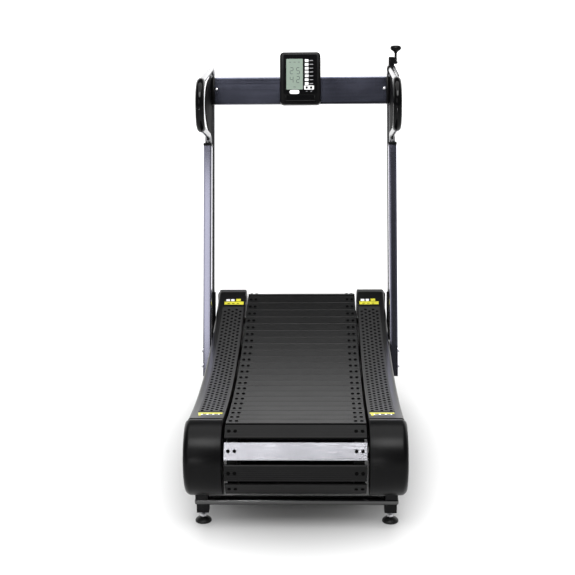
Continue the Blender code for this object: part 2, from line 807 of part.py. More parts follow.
def build_bearings(steel):
    outer = FRAME_INNER - SEAT_GAP
    for end, axle in (("rear", REAR_AXLE), ("front", FRONT_AXLE)):
        for name, side in SIDES.items():
            bm = bmesh.new()
            near = world(axle, side * (outer - BEARING_WIDTH))
            ring(bm, near, world(axle, side * outer), BEARING_RADIUS, SHAFT_RADIUS + SEAT_GAP, 16)
            add_part(f"{name}_{end}_bearing", bm, steel)


def build_brake(alloy, steel):
    """Brake disc on the front shaft and the swinging magnet carrier beside it."""
    disc = bmesh.new()
    start, end = world(FRONT_AXLE, DISC_X), world(FRONT_AXLE, DISC_X + DISC_THICKNESS)
    ring(disc, start, end, DISC_RADIUS, SHAFT_RADIUS + SEAT_GAP, 20)
    add_part("brake_disc", disc, alloy, world(FRONT_AXLE))
    pivot = FRONT_AXLE + CARRIER_PIVOT
    towards = (FRONT_AXLE - pivot).normalized()
    beside = Vector((-towards.y, towards.x)) * CARRIER_WIDTH / 2
    tip = pivot + towards * CARRIER_ARM
    back = heading(towards) + math.pi / 2
    outline = arc(pivot, CARRIER_WIDTH / 2, back, back + math.pi, 6) + [tip - beside, tip + beside]
    magnet = [tip - beside, tip + beside]
    magnet += [point - towards * MAGNET_LENGTH for point in reversed(magnet)]
    magnet_near = DISC_X + DISC_THICKNESS + MAGNET_GAP
    plate_near = magnet_near + MAGNET_THICKNESS
    plate_far = plate_near + CARRIER_THICKNESS
    plate, magnets, hub = bmesh.new(), bmesh.new(), bmesh.new()
    prism(plate, outline, plate_near, plate_far)
    prism(magnets, magnet, magnet_near, plate_near + WELD_OVERLAP)
    hub_start, hub_end = world(pivot, plate_far - WELD_OVERLAP), world(pivot, FRAME_INNER - RUNNING_GAP)
    rod(hub, hub_start, hub_end, CARRIER_WIDTH / 2 - WELD_OVERLAP, 12)
    carrier = add_part("magnet_carrier", plate, steel, world(pivot, plate_near))
    weld(carrier, "magnets", magnets)
    weld(carrier, "hub", hub)


# ---------------------------------------------------------------- covers


def rail_outline(rear, front, top, bottom):
    return deck_line(rear, front, top, 16) + return_line(front, rear, bottom, 12)


def build_foot_rails(plastic):
    """Shells over the side frames, open below and at both ends, with a short inner lip."""
    rear = REAR_AXLE.x + CAP_JOINT + SEAT_GAP
    front = FRONT_AXLE.x - CAP_JOINT - SEAT_GAP
    over = 0.010
    inside = rail_outline(rear - over, front + over, RAIL_TOP - RAIL_WALL, RAIL_TOP + over)
    below = rail_outline(rear - over, front + over, RAIL_TOP - RAIL_LIP, RAIL_TOP + over)
    for name, side in SIDES.items():
        bm = bmesh.new()
        prism(bm, rail_outline(rear, front, RAIL_TOP, RAIL_FLOOR), side * RAIL_INNER, side * RAIL_OUTER)
        top_edge = [edge for edge in bm.edges if is_top_outer(edge, side * RAIL_OUTER)]
        bevel(bm, top_edge, RAIL_EDGE)
        rail = add_part(f"{name}_foot_rail", bm, plastic)
        hollow = bmesh.new()
        wall = RAIL_OUTER - RAIL_WALL
        prism(hollow, inside, side * (RAIL_INNER + RAIL_WALL), side * wall)
        inner_edge = [edge for edge in hollow.edges if is_top_outer(edge, side * wall)]
        bevel(hollow, inner_edge, RAIL_EDGE - RAIL_WALL)
        cut(rail, "hollow", hollow)
        lip = bmesh.new()
        prism(lip, below, side * (RAIL_INNER - over), side * (RAIL_INNER + RAIL_WALL + 0.001))
        cut(rail, "lip", lip)
        cut(rail, "mount_window", mount_block(side, wall - over, RAIL_OUTER + over, RUNNING_GAP))
        if name == CABLE_SIDE:
            cut(rail, "cable_hole", cable_hole(cable_corners()[6:8], 0.5, 0.98))


def is_top_outer(edge, side):
    """Whether an edge runs along the top of a rail on one X side."""
    ends = [vert.co for vert in edge.verts]
    on_side = all(abs(end.x - side) < 1e-6 for end in ends)
    middle = (ends[0] + ends[1]) / 2
    return on_side and abs(ends[0].y - ends[1].y) > 1e-3 and middle.z > deck_height(middle.y)


def bevel(bm, edges, width):
    bmesh.ops.bevel(
        bm, geom=edges, offset=width, segments=3, profile=0.5, affect="EDGES", material=-1
    )


def cap_outline(axle, facing, radius, joint):
    """Half drum about an axle, closed by a joint plane on the deck's side."""
    side = math.acos(joint / radius)
    middle = 0.0 if facing > 0 else math.pi
    return arc(axle, radius, middle - (math.pi - side), middle + (math.pi - side), 16)


def build_end_caps(plastic):
    """Half-drum shells over the ends of the side frames."""
    over = 0.010
    outer = RAIL_OUTER + CAP_OVERWIDTH
    wall = RAIL_WALL
    legs = leg_stations()
    ends = (("rear", REAR_AXLE, -1, legs[0]), ("front", FRONT_AXLE, 1, legs[1]))
    for end, axle, facing, leg in ends:
        joint = axle.x - facing * CAP_JOINT
        centre = axle + Vector((0.0, CAP_LIFT))
        for name, side in SIDES.items():
            bm = bmesh.new()
            outside = cap_outline(centre, facing, CAP_RADIUS, CAP_JOINT)
            prism(bm, outside, side * RAIL_INNER, side * outer)
            soften_side(bm, side * outer, CAP_EDGE, joint)
            cap = add_part(f"{name}_{end}_cap", bm, plastic)
            hollow = bmesh.new()
            inside = cap_outline(centre, facing, CAP_RADIUS - wall, CAP_JOINT + over)
            prism(hollow, inside, side * (RAIL_INNER + wall), side * (outer - wall))
            soften_side(hollow, side * (outer - wall), CAP_EDGE - wall, joint - facing * over)
            cut(cap, "hollow", hollow)
            slot = bmesh.new()
            gap = SHAFT_RADIUS + CAP_OPENING_GAP
            near, far = sorted((axle.x + facing * gap, joint - facing * over))
            x_near, x_far = sorted((side * (RAIL_INNER - over), side * (RAIL_INNER + wall + 0.001)))
            box(slot, (x_near, near, axle.y - gap), (x_far, far, axle.y + gap))
            cut(cap, "shaft_slot", slot)
            opening = bmesh.new()
            gap = CAP_OPENING_GAP
            x_near, x_far = sorted((side * (FRAME_INNER - gap), side * (FRAME_OUTER + gap)))
            low = axle.y - CAP_RADIUS - over
            box(opening, (x_near, leg[0] - gap, low), (x_far, leg[1] + gap, axle.y - CAP_RADIUS / 2))
            cut(cap, "leg_opening", opening)


# ---------------------------------------------------------------- feet and wheels


def build_feet(steel):
    neck = FOOT_STUD_RADIUS
    profile = [
        (0, 0),
        (FOOT_PAD_RADIUS, 0),
        (FOOT_PAD_RADIUS, 0.006),
        (0.020, 0.012),
        (0.010, 0.015),
        (neck, 0.020),
        (neck, FOOT_STUD_TOP),
        (0, FOOT_STUD_TOP),
    ]
    for end, station in (("rear", REAR_FOOT), ("front", FRONT_FOOT)):
        for name, side in SIDES.items():
            bm = bmesh.new()
            spot = (side * FOOT_SETOUT, station, 0)
            turned(bm, profile, spot, (0, 0, 1), 12)
            add_part(f"{name}_{end}_foot", bm, steel, spot)


def build_wheels(rubber):
    half = WHEEL_WIDTH / 2
    bore = WHEEL_PIN_RADIUS + SEAT_GAP
    shoulder = WHEEL_RADIUS - 0.003
    profile = [(bore, -half), (shoulder, -half), (WHEEL_RADIUS, -half + 0.003)]
    profile += [(radius, -along) for radius, along in reversed(profile)]
    for name, side in SIDES.items():
        bm = bmesh.new()
        centre = world(wheel_axle(), side * WHEEL_SETOUT)
        turned(bm, profile, centre, (1, 0, 0), 16)
        add_part(f"{name}_transport_wheel", bm, rubber, centre)


# ---------------------------------------------------------------- uprights and handles


def build_posts(steel, plastic):
    """Rectangular uprights, closed below by a welded plate and above by a moulded collar."""
    placing = post_placing()
    inner = (POST_WIDTH - 2 * POST_WALL, POST_DEPTH - 2 * POST_WALL)
    collar_size = (POST_WIDTH + 2 * COLLAR_PROUD, POST_DEPTH + 2 * COLLAR_PROUD)
    for name, side in SIDES.items():
        shift = Matrix.Translation((side * LOOP_X, 0, 0)) @ placing
        bm = bmesh.new()
        box_tube(bm, (POST_WIDTH, POST_DEPTH), inner, POST_LENGTH, shift)
        post = add_part(f"{name}_post", bm, steel)
        plate = bmesh.new()
        low = (WELD_OVERLAP - POST_WIDTH / 2, WELD_OVERLAP - POST_DEPTH / 2, -POST_PLUG)
        box(plate, low, (-low[0], -low[1], WELD_OVERLAP))
        bmesh.ops.transform(plate, matrix=shift, verts=plate.verts)
        weld(post, "end_plate", plate)
        holes = bolt_holes(side, BOLT_RADIUS + SEAT_GAP, POST_INNER - 0.01, POST_OUTER + 0.01)
        cut(post, "bolt_holes", holes)
        if name == CABLE_SIDE:
            cut(post, "cable_hole", cable_hole(cable_corners()[6:8], 0.2, 0.7))
        collar = bmesh.new()
        top = shift @ Matrix.Translation((0, 0, POST_LENGTH + SEAT_GAP))
        box_tube(collar, collar_size, (COLLAR_BORE, COLLAR_BORE), COLLAR_HEIGHT, top)
        add_part(f"{name}_post_collar", collar, plastic)


def post_top(rise=0.0):
    """Side-plane point on the upright's axis, above its collar by a distance along the axis."""
    spot = post_placing() @ Vector((0, 0, POST_LENGTH + COLLAR_HEIGHT + 2 * SEAT_GAP + rise))
    return Vector((spot.y, spot.z))


def handle_corners():
    """Side-plane corners of the handle tube, from its foot on the base round to the upright."""
    foot = Vector((HANDLE_FOOT_STATION, deck_height(HANDLE_FOOT_STATION) - HANDLE_FOOT_DROP))
    top = post_top()
    front = top + Vector((HANDLE_FRONT, HANDLE_FRONT_RISE))
    rear = top + Vector((HANDLE_REAR, HANDLE_REAR_RISE))
    low = top + Vector((HANDLE_REAR, HANDLE_LOW_RISE))
    return [foot, front, rear, low, post_top(HANDLE_ENTRY), top]


HANDLE_BENDS = (BEND_FRONT, BEND_GRIP_TOP, BEND_GRIP_LOW, BEND_ENTRY)
BEND_STEPS = 4


def handle_path():
    return rounded(handle_corners(), HANDLE_BENDS, BEND_STEPS)


def grip_path():
    """The stretch of the handle tube round its two rear bends."""
    path = handle_path()
    first = 1 + (BEND_STEPS + 1)
    return path[first : first + 2 * (BEND_STEPS + 1)]


def front_post_placing(distance):
    """Frame on the handle's front post, down from its top corner: local Z up the post, Y forward."""
    foot, front = handle_corners()[:2]
    up = (front - foot).normalized()
    turning = Matrix.Rotation(heading(up) - math.pi / 2, 4, "X")
    return Matrix.Translation(world(front - up * distance)) @ turning


def arm_placing(station):
    """Frame on the handle's upper arm at a station: local Y along the arm, Z up."""
    front, rear = handle_corners()[1:3]
    share = (station - rear.x) / (front.x - rear.x)
    turning = Matrix.Rotation(heading(front - rear), 4, "X")
    return Matrix.Translation(world(rear.lerp(front, share), LOOP_X)) @ turning


def gusset_outline():
    """Half an ellipse that fills the front of a handle loop, against the front post."""
    placing = front_post_placing(GUSSET_DROP + GUSSET_HEIGHT / 2)
    clear = TUBE_RADIUS + SEAT_GAP
    points = []
    for step in range(19):
        angle = math.pi * step / 18
        local = Vector((0, -clear - GUSSET_REACH * math.sin(angle), GUSSET_HEIGHT / 2 * math.cos(angle)))
        local.z += GUSSET_REACH * math.sin(angle) * math.sin(math.radians(-7))
        spot = placing @ local
        points.append(Vector((spot.y, spot.z)))
    return points


def build_handles(chrome, foam, steel):
    """Handle tubes with their foam grips, and the gusset plate that fills each loop's front."""
    half = GUSSET_THICKNESS / 2
    for name, side in SIDES.items():
        across = side * LOOP_X
        tube, grip, gusset = bmesh.new(), bmesh.new(), bmesh.new()
        bent_tube(tube, across, handle_path(), TUBE_RADIUS, TUBE_RADIUS - TUBE_WALL, 8)
        handle = add_part(f"{name}_handle_tube", tube, chrome)
        if name == CABLE_SIDE:
            cut(handle, "cable_hole", cable_hole(cable_corners()[1:3], 0.0, 0.95))
        bent_tube(grip, across, grip_path(), GRIP_RADIUS, TUBE_RADIUS + SEAT_GAP, 8)
        add_part(f"{name}_grip", grip, foam)
        prism(gusset, gusset_outline(), across - half, across + half)
        add_part(f"{name}_gusset", gusset, steel)


def build_handle_sockets(plastic):
    """Sleeves round the feet of the handle tubes, each on a plate against its foot rail."""
    foot, front = handle_corners()[:2]
    up = (front - foot).normalized()
    half = Vector((SOCKET_PLATE_LENGTH, SOCKET_PLATE_HEIGHT)) / 2
    low, high = foot - half, foot + half
    for name, side in SIDES.items():
        sleeve, plate = bmesh.new(), bmesh.new()
        start = world(foot, side * LOOP_X)
        bore = TUBE_RADIUS + RUNNING_GAP
        ring(sleeve, start, start + world(up) * SOCKET_LENGTH, SOCKET_RADIUS, bore, 14)
        socket = add_part(f"{name}_handle_socket", sleeve, plastic)
        near = side * (RAIL_OUTER + SEAT_GAP)
        x_near, x_far = sorted((near, near + side * SOCKET_PLATE))
        box(plate, (x_near, low.x, low.y), (x_far, high.x, high.y))
        weld(socket, "plate", plate)


def mount_block(side, near, far, growth=0.0):
    """Block behind an upright, round both of its bolts, between two distances from the centre."""
    bm = bmesh.new()
    half = MOUNT_DEPTH / 2 + growth
    low, high = POST_BOLT_RISES[0] - MOUNT_MARGIN - growth, POST_BOLT_RISES[1] + MOUNT_MARGIN + growth
    x_near, x_far = sorted((side * near, side * far))
    verts = box(bm, (x_near, -half, low), (x_far, half, high))
    bmesh.ops.transform(bm, matrix=post_placing(), verts=verts)
    return bm


def build_post_bolts(steel):
    """Mounting block between each side frame and its upright, with its two bolts."""
    start = FRAME_INNER + 0.007
    neck = POST_OUTER + SEAT_GAP - start
    head = neck + BOLT_HEAD_HEIGHT
    profile = [(0, 0), (BOLT_RADIUS, 0), (BOLT_RADIUS, neck), (BOLT_HEAD_RADIUS, neck)]
    profile += [(BOLT_HEAD_RADIUS, head), (0, head)]
    for name, side in SIDES.items():
        block = mount_block(side, FRAME_OUTER + SEAT_GAP, POST_INNER - SEAT_GAP)
        mount = add_part(f"{name}_post_bolts", block, steel)
        bolts = bmesh.new()
        for centre in post_bolt_centres():
            turned(bolts, profile, world(centre, side * start), (side, 0, 0), 12)
        weld(mount, "bolts", bolts)


def crossbar_placing():
    """Frame at the crossbar's middle: local Z up its face, local Y away from the runner."""
    back = TUBE_RADIUS + CROSSBAR_TUBE_GAP + CROSSBAR_DEPTH / 2
    return front_post_placing(CROSSBAR_DROP) @ Matrix.Translation((0, -back, 0))


def build_crossbar(brushed, plastic):
    """Hollow bar between the handle loops, with a block at each end."""
    placing = crossbar_placing()
    bm = bmesh.new()
    turning = Matrix.Translation((-CROSSBAR_HALF, 0, 0)) @ Matrix.Rotation(math.pi / 2, 4, "Y")
    inner = (CROSSBAR_HEIGHT - 2 * CROSSBAR_WALL, CROSSBAR_DEPTH - 2 * CROSSBAR_WALL)
    box_tube(bm, (CROSSBAR_HEIGHT, CROSSBAR_DEPTH), inner, 2 * CROSSBAR_HALF, placing @ turning)
    add_part("crossbar", bm, brushed)
    near = CROSSBAR_HALF + SEAT_GAP
    far = LOOP_X - GUSSET_THICKNESS / 2 - SEAT_GAP
    for name, side in SIDES.items():
        block = bmesh.new()
        x_near, x_far = sorted((side * near, side * far))
        low = (x_near, -CROSSBAR_DEPTH / 2, -CROSSBAR_HEIGHT / 2)
        box(block, low, (x_far, CROSSBAR_DEPTH / 2, CROSSBAR_HEIGHT / 2))
        bmesh.ops.transform(block, matrix=placing, verts=block.verts)
        add_part(f"{name}_crossbar_block", block, plastic)


# ---------------------------------------------------------------- console


def console_placing():
    """Frame at the middle of the console's face: local Z up the face, local Y into it."""
    front = CROSSBAR_DEPTH / 2 + CONSOLE_BRACKET + 2 * SEAT_GAP + CONSOLE_DEPTH
    return crossbar_placing() @ Matrix.Translation((0, -front, CONSOLE_RISE))


def rounded_plate(bm, centre, size, corner, near, far, placing, edge=0.0):
    """Rounded rectangle in the local XZ plane, drawn along local Y, with a softened near edge."""
    half_x, half_z = size[0] / 2 - corner, size[1] / 2 - corner
    quarter = math.pi / 2
    spots = []
    for index, (sign_x, sign_z) in enumerate(((1, 1), (-1, 1), (-1, -1), (1, -1))):
        middle = Vector((centre[0] + sign_x * half_x, centre[1] + sign_z * half_z))
        spots += arc(middle, corner, index * quarter, (index + 1) * quarter, 4)
    face = bm.faces.new([bm.verts.new((spot.x, near, spot.y)) for spot in spots])
    extruded = bmesh.ops.extrude_face_region(bm, geom=[face])["geom"]
    moved = [item for item in extruded if isinstance(item, bmesh.types.BMVert)]
    bmesh.ops.translate(bm, verts=moved, vec=(0, far - near, 0))
    verts = list(face.verts) + moved
    if edge:
        rim = [item for item in bm.edges if all(abs(vert.co.y - near) < 1e-6 for vert in item.verts)]
        bmesh.ops.bevel(bm, geom=rim, offset=edge, segments=2, profile=0.5, affect="EDGES", material=-1)
        verts = list(bm.verts)
    bmesh.ops.transform(bm, matrix=placing, verts=verts)


BUTTONS = {
    "start_button": (START_BUTTON_ACROSS, START_BUTTON_UP, START_BUTTON_WIDTH, START_BUTTON_HEIGHT),
    "minus_button": (
        SMALL_BUTTON_ACROSS - SMALL_BUTTON_SPREAD / 2,
        SMALL_BUTTON_UP,
        SMALL_BUTTON_SIZE,
        SMALL_BUTTON_SIZE,
    ),
    "plus_button": (
        SMALL_BUTTON_ACROSS + SMALL_BUTTON_SPREAD / 2,
        SMALL_BUTTON_UP,
        SMALL_BUTTON_SIZE,
        SMALL_BUTTON_SIZE,
    ),
}


def build_console(plastic, lens, white, steel):
    placing = console_placing()
    size = (CONSOLE_WIDTH, CONSOLE_HEIGHT)
    shell = bmesh.new()
    rounded_plate(shell, (0, 0), size, CONSOLE_CORNER, 0, CONSOLE_DEPTH, placing, CONSOLE_EDGE)
    housing = add_part("console_housing", shell, plastic)
    inside = tuple(length - 2 * CONSOLE_WALL for length in size)
    hollow = bmesh.new()
    corner = CONSOLE_CORNER - CONSOLE_WALL
    rounded_plate(hollow, (0, 0), inside, corner, CONSOLE_WALL, CONSOLE_DEPTH + 0.01, placing)
    cut(housing, "hollow", hollow)
    window = bmesh.new()
    screen = (SCREEN_ACROSS, SCREEN_UP)
    screen_size = (SCREEN_WIDTH, SCREEN_HEIGHT)
    opening = tuple(length + 2 * SEAT_GAP for length in screen_size)
    depth = SCREEN_THICKNESS + SEAT_GAP
    rounded_plate(window, screen, opening, 0.003, -0.01, depth, placing)
    cut(housing, "window", window)
    glass = bmesh.new()
    rounded_plate(glass, screen, screen_size, 0.003, 0, SCREEN_THICKNESS, placing)
    add_part("console_screen", glass, lens)
    wells = bmesh.new()
    for name, (across, up, width, height) in BUTTONS.items():
        radius = height * 0.48
        room = 2 * RUNNING_GAP
        hole = (width + room, height + room)
        rounded_plate(wells, (across, up), hole, radius + room / 2, -0.01, CONSOLE_WALL + 0.005, Matrix())
        button = bmesh.new()
        rear = CONSOLE_WALL + BUTTON_TRAVEL_ROOM / 2
        rounded_plate(button, (across, up), (width, height), radius, -BUTTON_PROUD, rear, placing)
        add_part(name, button, white, placing @ Vector((across, 0, up)))
    bmesh.ops.transform(wells, matrix=placing, verts=wells.verts)
    cut(housing, "button_wells", wells)
    bracket = bmesh.new()
    half_x, half_z = CONSOLE_BRACKET_WIDTH / 2, CONSOLE_BRACKET_HEIGHT / 2
    low = (-half_x, CONSOLE_DEPTH + SEAT_GAP, -CONSOLE_RISE - half_z)
    high = (half_x, CONSOLE_DEPTH + SEAT_GAP + CONSOLE_BRACKET, -CONSOLE_RISE + half_z)
    verts = box(bracket, low, high)
    bmesh.ops.transform(bracket, matrix=placing, verts=verts)
    add_part("console_bracket", bracket, steel)


# ---------------------------------------------------------------- resistance lever and cable


def lever_placing():
    """Frame at the lever's pivot: local X along its pin, local Z up the lever."""
    return arm_placing(LEVER_STATION) @ Matrix.Translation((0, 0, LEVER_PIVOT_RISE))


def build_lever(plastic, steel):
    """Clamp on the right arm, the lever beside its ear and the lever's knob."""
    arm = arm_placing(LEVER_STATION)
    half, ear_half = CLAMP_LENGTH / 2, CLAMP_EAR_WIDTH / 2
    clamp, ear = bmesh.new(), bmesh.new()
    bore = TUBE_RADIUS + RUNNING_GAP
    ring(clamp, arm @ Vector((0, -half, 0)), arm @ Vector((0, half, 0)), CLAMP_RADIUS, bore, 14)
    bracket = add_part("lever_bracket", clamp, plastic)
    low = (-ear_half, WELD_OVERLAP - half, CLAMP_RADIUS - 2 * WELD_OVERLAP)
    box(ear, low, (ear_half, half - WELD_OVERLAP, CLAMP_RADIUS + CLAMP_EAR_HEIGHT))
    bmesh.ops.transform(ear, matrix=arm, verts=ear.verts)
    weld(bracket, "ear", ear)
    placing = lever_placing()
    lever, knob = bmesh.new(), bmesh.new()
    near = ear_half + RUNNING_GAP
    far = near + LEVER_THICKNESS
    neck = 0.7 * LEVER_HALF_WIDTH
    outline = arc(Vector((0, 0)), LEVER_HALF_WIDTH, math.pi, math.tau, 6)
    outline += [Vector((neck, LEVER_LENGTH)), Vector((-neck, LEVER_LENGTH))]
    prism(lever, outline, near, far)
    bmesh.ops.transform(lever, matrix=placing, verts=lever.verts)
    add_part("resistance_lever", lever, steel, placing.translation)
    shares = ((0, 0), (0.3, 0), (0.45, 0.15), (0.92, 0.45), (1, 0.65), (0.92, 0.88), (0.6, 1), (0, 1))
    profile = [(across * KNOB_RADIUS, up * KNOB_HEIGHT) for across, up in shares]
    base = placing @ Vector(((near + far) / 2, 0, LEVER_LENGTH + SEAT_GAP))
    turned(knob, profile, base, placing.to_3x3() @ Vector((0, 0, 1)), 14)
    add_part("lever_knob", knob, plastic, placing.translation)


def cable_corners():
    """Corners of the brake cable's route.

    It leaves the lever's clamp, lies on the arm, goes down inside the handle tube and the upright,
    comes out into the foot rail, crosses over the side frame and ends at the magnet carrier.
    """
    beside = (TUBE_RADIUS + CABLE_RADIUS + 2 * SEAT_GAP) / math.sqrt(2)
    start = arm_placing(LEVER_STATION) @ Vector((beside, -CLAMP_LENGTH / 2 - SEAT_GAP, beside))
    entry = handle_corners()[2].x + BEND_GRIP_TOP + CABLE_ENTRY
    corners = [start, arm_placing(entry) @ Vector((beside, 0, beside))]
    corners.append(arm_placing(entry - 2 * CABLE_ENTRY / 3) @ Vector((0, 0, 0)))
    corners += [world(corner, LOOP_X) for corner in handle_corners()[2:5]]
    outlet = post_placing() @ Vector((LOOP_X, 0, CABLE_OUTLET_RISE))
    beyond_frame = (FRAME_OUTER + RAIL_OUTER - RAIL_WALL) / 2
    above_frame = (RAIL_TOP - RAIL_WALL - FRAME_TOP_DROP) / 2
    pivot = FRONT_AXLE + CARRIER_PIVOT
    crossing = pivot.x - CABLE_CROSSING
    inner = FRAME_INNER - CABLE_INSET
    corners.append(outlet)
    corners.append(Vector((beyond_frame, outlet.y + CABLE_SLANT, outlet.z)))
    corners.append(Vector((beyond_frame, crossing, deck_height(crossing, above_frame))))
    beyond = crossing + CABLE_SLANT
    corners.append(Vector((inner, beyond, deck_height(beyond, above_frame))))
    corners.append(Vector((inner, pivot.x - CARRIER_WIDTH / 2 - CABLE_END_GAP, pivot.y)))
    return corners


def cable_hole(ends, first, last):
    """Cutter round a share of one straight stretch of the cable."""
    bm = bmesh.new()
    start, end = ends
    rod(bm, start.lerp(end, first), start.lerp(end, last), CABLE_RADIUS + CABLE_HOLE_GAP, 8)
    return bm


def build_cable(rubber):
    """Brake cable, held inside the machine for most of its length."""
    bends = [CABLE_BEND, CABLE_BEND, BEND_GRIP_TOP, BEND_GRIP_LOW, BEND_ENTRY]
    bends += [CABLE_BEND, CABLE_BEND, CABLE_BEND, CABLE_BEND]
    path = rounded(cable_corners(), bends, 4)
    curve = bpy.data.curves.new("brake_cable", "CURVE")
    curve.dimensions = "3D"
    curve.bevel_depth = CABLE_RADIUS
    curve.bevel_resolution = 1
    curve.use_fill_caps = True
    spline = curve.splines.new("POLY")
    spline.points.add(len(path) - 1)
    for point, spot in zip(spline.points, path):
        point.co = (*spot, 1)
    curve.materials.append(rubber)
    cable = bpy.data.objects.new("brake_cable", curve)
    bpy.context.collection.objects.link(cable)


def build_all():
    for leftover in list(bpy.data.objects):
        bpy.data.objects.remove(leftover)
    frame_black = finish("frame_black", (0.020, 0.021, 0.024), 0.45, 0.4)
    cover_black = finish("cover_black", (0.016, 0.016, 0.018), 0.38)
    slat_grey = finish("slat_charcoal", (0.030, 0.030, 0.033), 0.60)
    alloy = finish("polished_alloy", (0.80, 0.80, 0.82), 0.25, 1.0)
    chrome = finish("satin_chrome", (0.70, 0.70, 0.71), 0.30, 1.0)
    bright_steel = finish("bright_steel", (0.62, 0.62, 0.64), 0.28, 1.0)
    rubber = finish("belt_rubber", (0.015, 0.015, 0.016), 0.80)
    foam = finish("grip_foam", (0.010, 0.010, 0.011), 0.70)
    post_blue = finish("post_anodised", (0.10, 0.10, 0.13), 0.35, 0.8)
    brushed = finish("crossbar_brushed", (0.14, 0.15, 0.19), 0.40, 0.9)
    lens = finish("screen_green_grey", (0.33, 0.40, 0.34), 0.20)
    white = finish("button_white", (0.82, 0.82, 0.82), 0.40)
    build_side_frames(frame_black)
    build_end_cross_tubes(frame_black)
    build_middle_cross_tubes(frame_black)
    build_roller_banks(frame_black)
    build_slat_belt(slat_grey, alloy)
    build_drums(frame_black)
    build_bearings(frame_black)
    build_brake(alloy, bright_steel)
    build_foot_rails(cover_black)
    build_end_caps(cover_black)
    build_feet(bright_steel)
    build_wheels(rubber)
    build_posts(post_blue, cover_black)
    build_post_bolts(bright_steel)
    build_handles(chrome, foam, frame_black)
    build_handle_sockets(cover_black)
    build_crossbar(brushed, cover_black)
    build_console(cover_black, lens, white, frame_black)
    build_lever(cover_black, frame_black)
    build_cable(rubber)


build_all()
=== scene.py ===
"""Looks of a curved manual treadmill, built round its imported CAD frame.

Metres, +Z up. X runs across the machine and +Y is the way the runner faces. Side-plane points are
pairs of Y and Z.
"""

import json
import logging
import math
from collections.abc import Callable, Sequence
from dataclasses import dataclass, field
from enum import Enum

import bmesh
import bpy
from mathutils import Matrix, Vector


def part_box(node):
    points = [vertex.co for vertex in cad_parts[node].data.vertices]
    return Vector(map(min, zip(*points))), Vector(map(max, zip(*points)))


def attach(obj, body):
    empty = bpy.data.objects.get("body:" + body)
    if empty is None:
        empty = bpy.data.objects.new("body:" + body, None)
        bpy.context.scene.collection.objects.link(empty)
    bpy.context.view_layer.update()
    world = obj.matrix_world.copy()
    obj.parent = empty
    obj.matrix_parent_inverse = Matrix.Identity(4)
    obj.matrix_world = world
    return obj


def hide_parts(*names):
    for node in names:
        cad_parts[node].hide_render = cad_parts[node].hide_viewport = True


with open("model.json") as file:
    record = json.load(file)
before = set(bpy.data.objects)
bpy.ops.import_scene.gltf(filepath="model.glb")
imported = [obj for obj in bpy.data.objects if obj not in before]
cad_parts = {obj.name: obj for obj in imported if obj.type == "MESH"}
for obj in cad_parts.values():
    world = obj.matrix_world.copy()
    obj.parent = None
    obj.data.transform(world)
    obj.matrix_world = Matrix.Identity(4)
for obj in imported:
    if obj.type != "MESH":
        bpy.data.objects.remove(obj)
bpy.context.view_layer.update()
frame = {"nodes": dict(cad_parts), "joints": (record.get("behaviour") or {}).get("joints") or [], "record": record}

LOG = logging.getLogger("treadmill")
SIDES = {"left": -1, "right": 1}
X_AXIS = Vector((1, 0, 0))
Y_AXIS = Vector((0, 1, 0))
Z_AXIS = Vector((0, 0, 1))


# ---------------------------------------------------------------- shader maths


class Value:
    """A socket of a material that takes arithmetic."""

    def __init__(self, graph: "Graph", socket: bpy.types.NodeSocket) -> None:
        """Wraps one output socket of a graph."""
        self.graph = graph
        self.socket = socket

    def _math(self, operation: str, *values: "Value | float") -> "Value":
        """Result of one Math node on these values."""
        sockets = dict(enumerate(values))
        return self.graph.node("ShaderNodeMath", {"operation": operation}, sockets)

    def __add__(self, other: "Value | float") -> "Value":
        """self + other."""
        return self._math("ADD", self, other)

    __radd__ = __add__

    def __sub__(self, other: "Value | float") -> "Value":
        """self - other."""
        return self._math("SUBTRACT", self, other)

    def __rsub__(self, other: "Value | float") -> "Value":
        """other - self."""
        return self._math("SUBTRACT", other, self)

    def __mul__(self, other: "Value | float") -> "Value":
        """self * other."""
        return self._math("MULTIPLY", self, other)

    __rmul__ = __mul__

    def clamped(self) -> "Value":
        """self held between 0 and 1."""
        return self._math("MINIMUM", self._math("MAXIMUM", self, 0.0), 1.0)


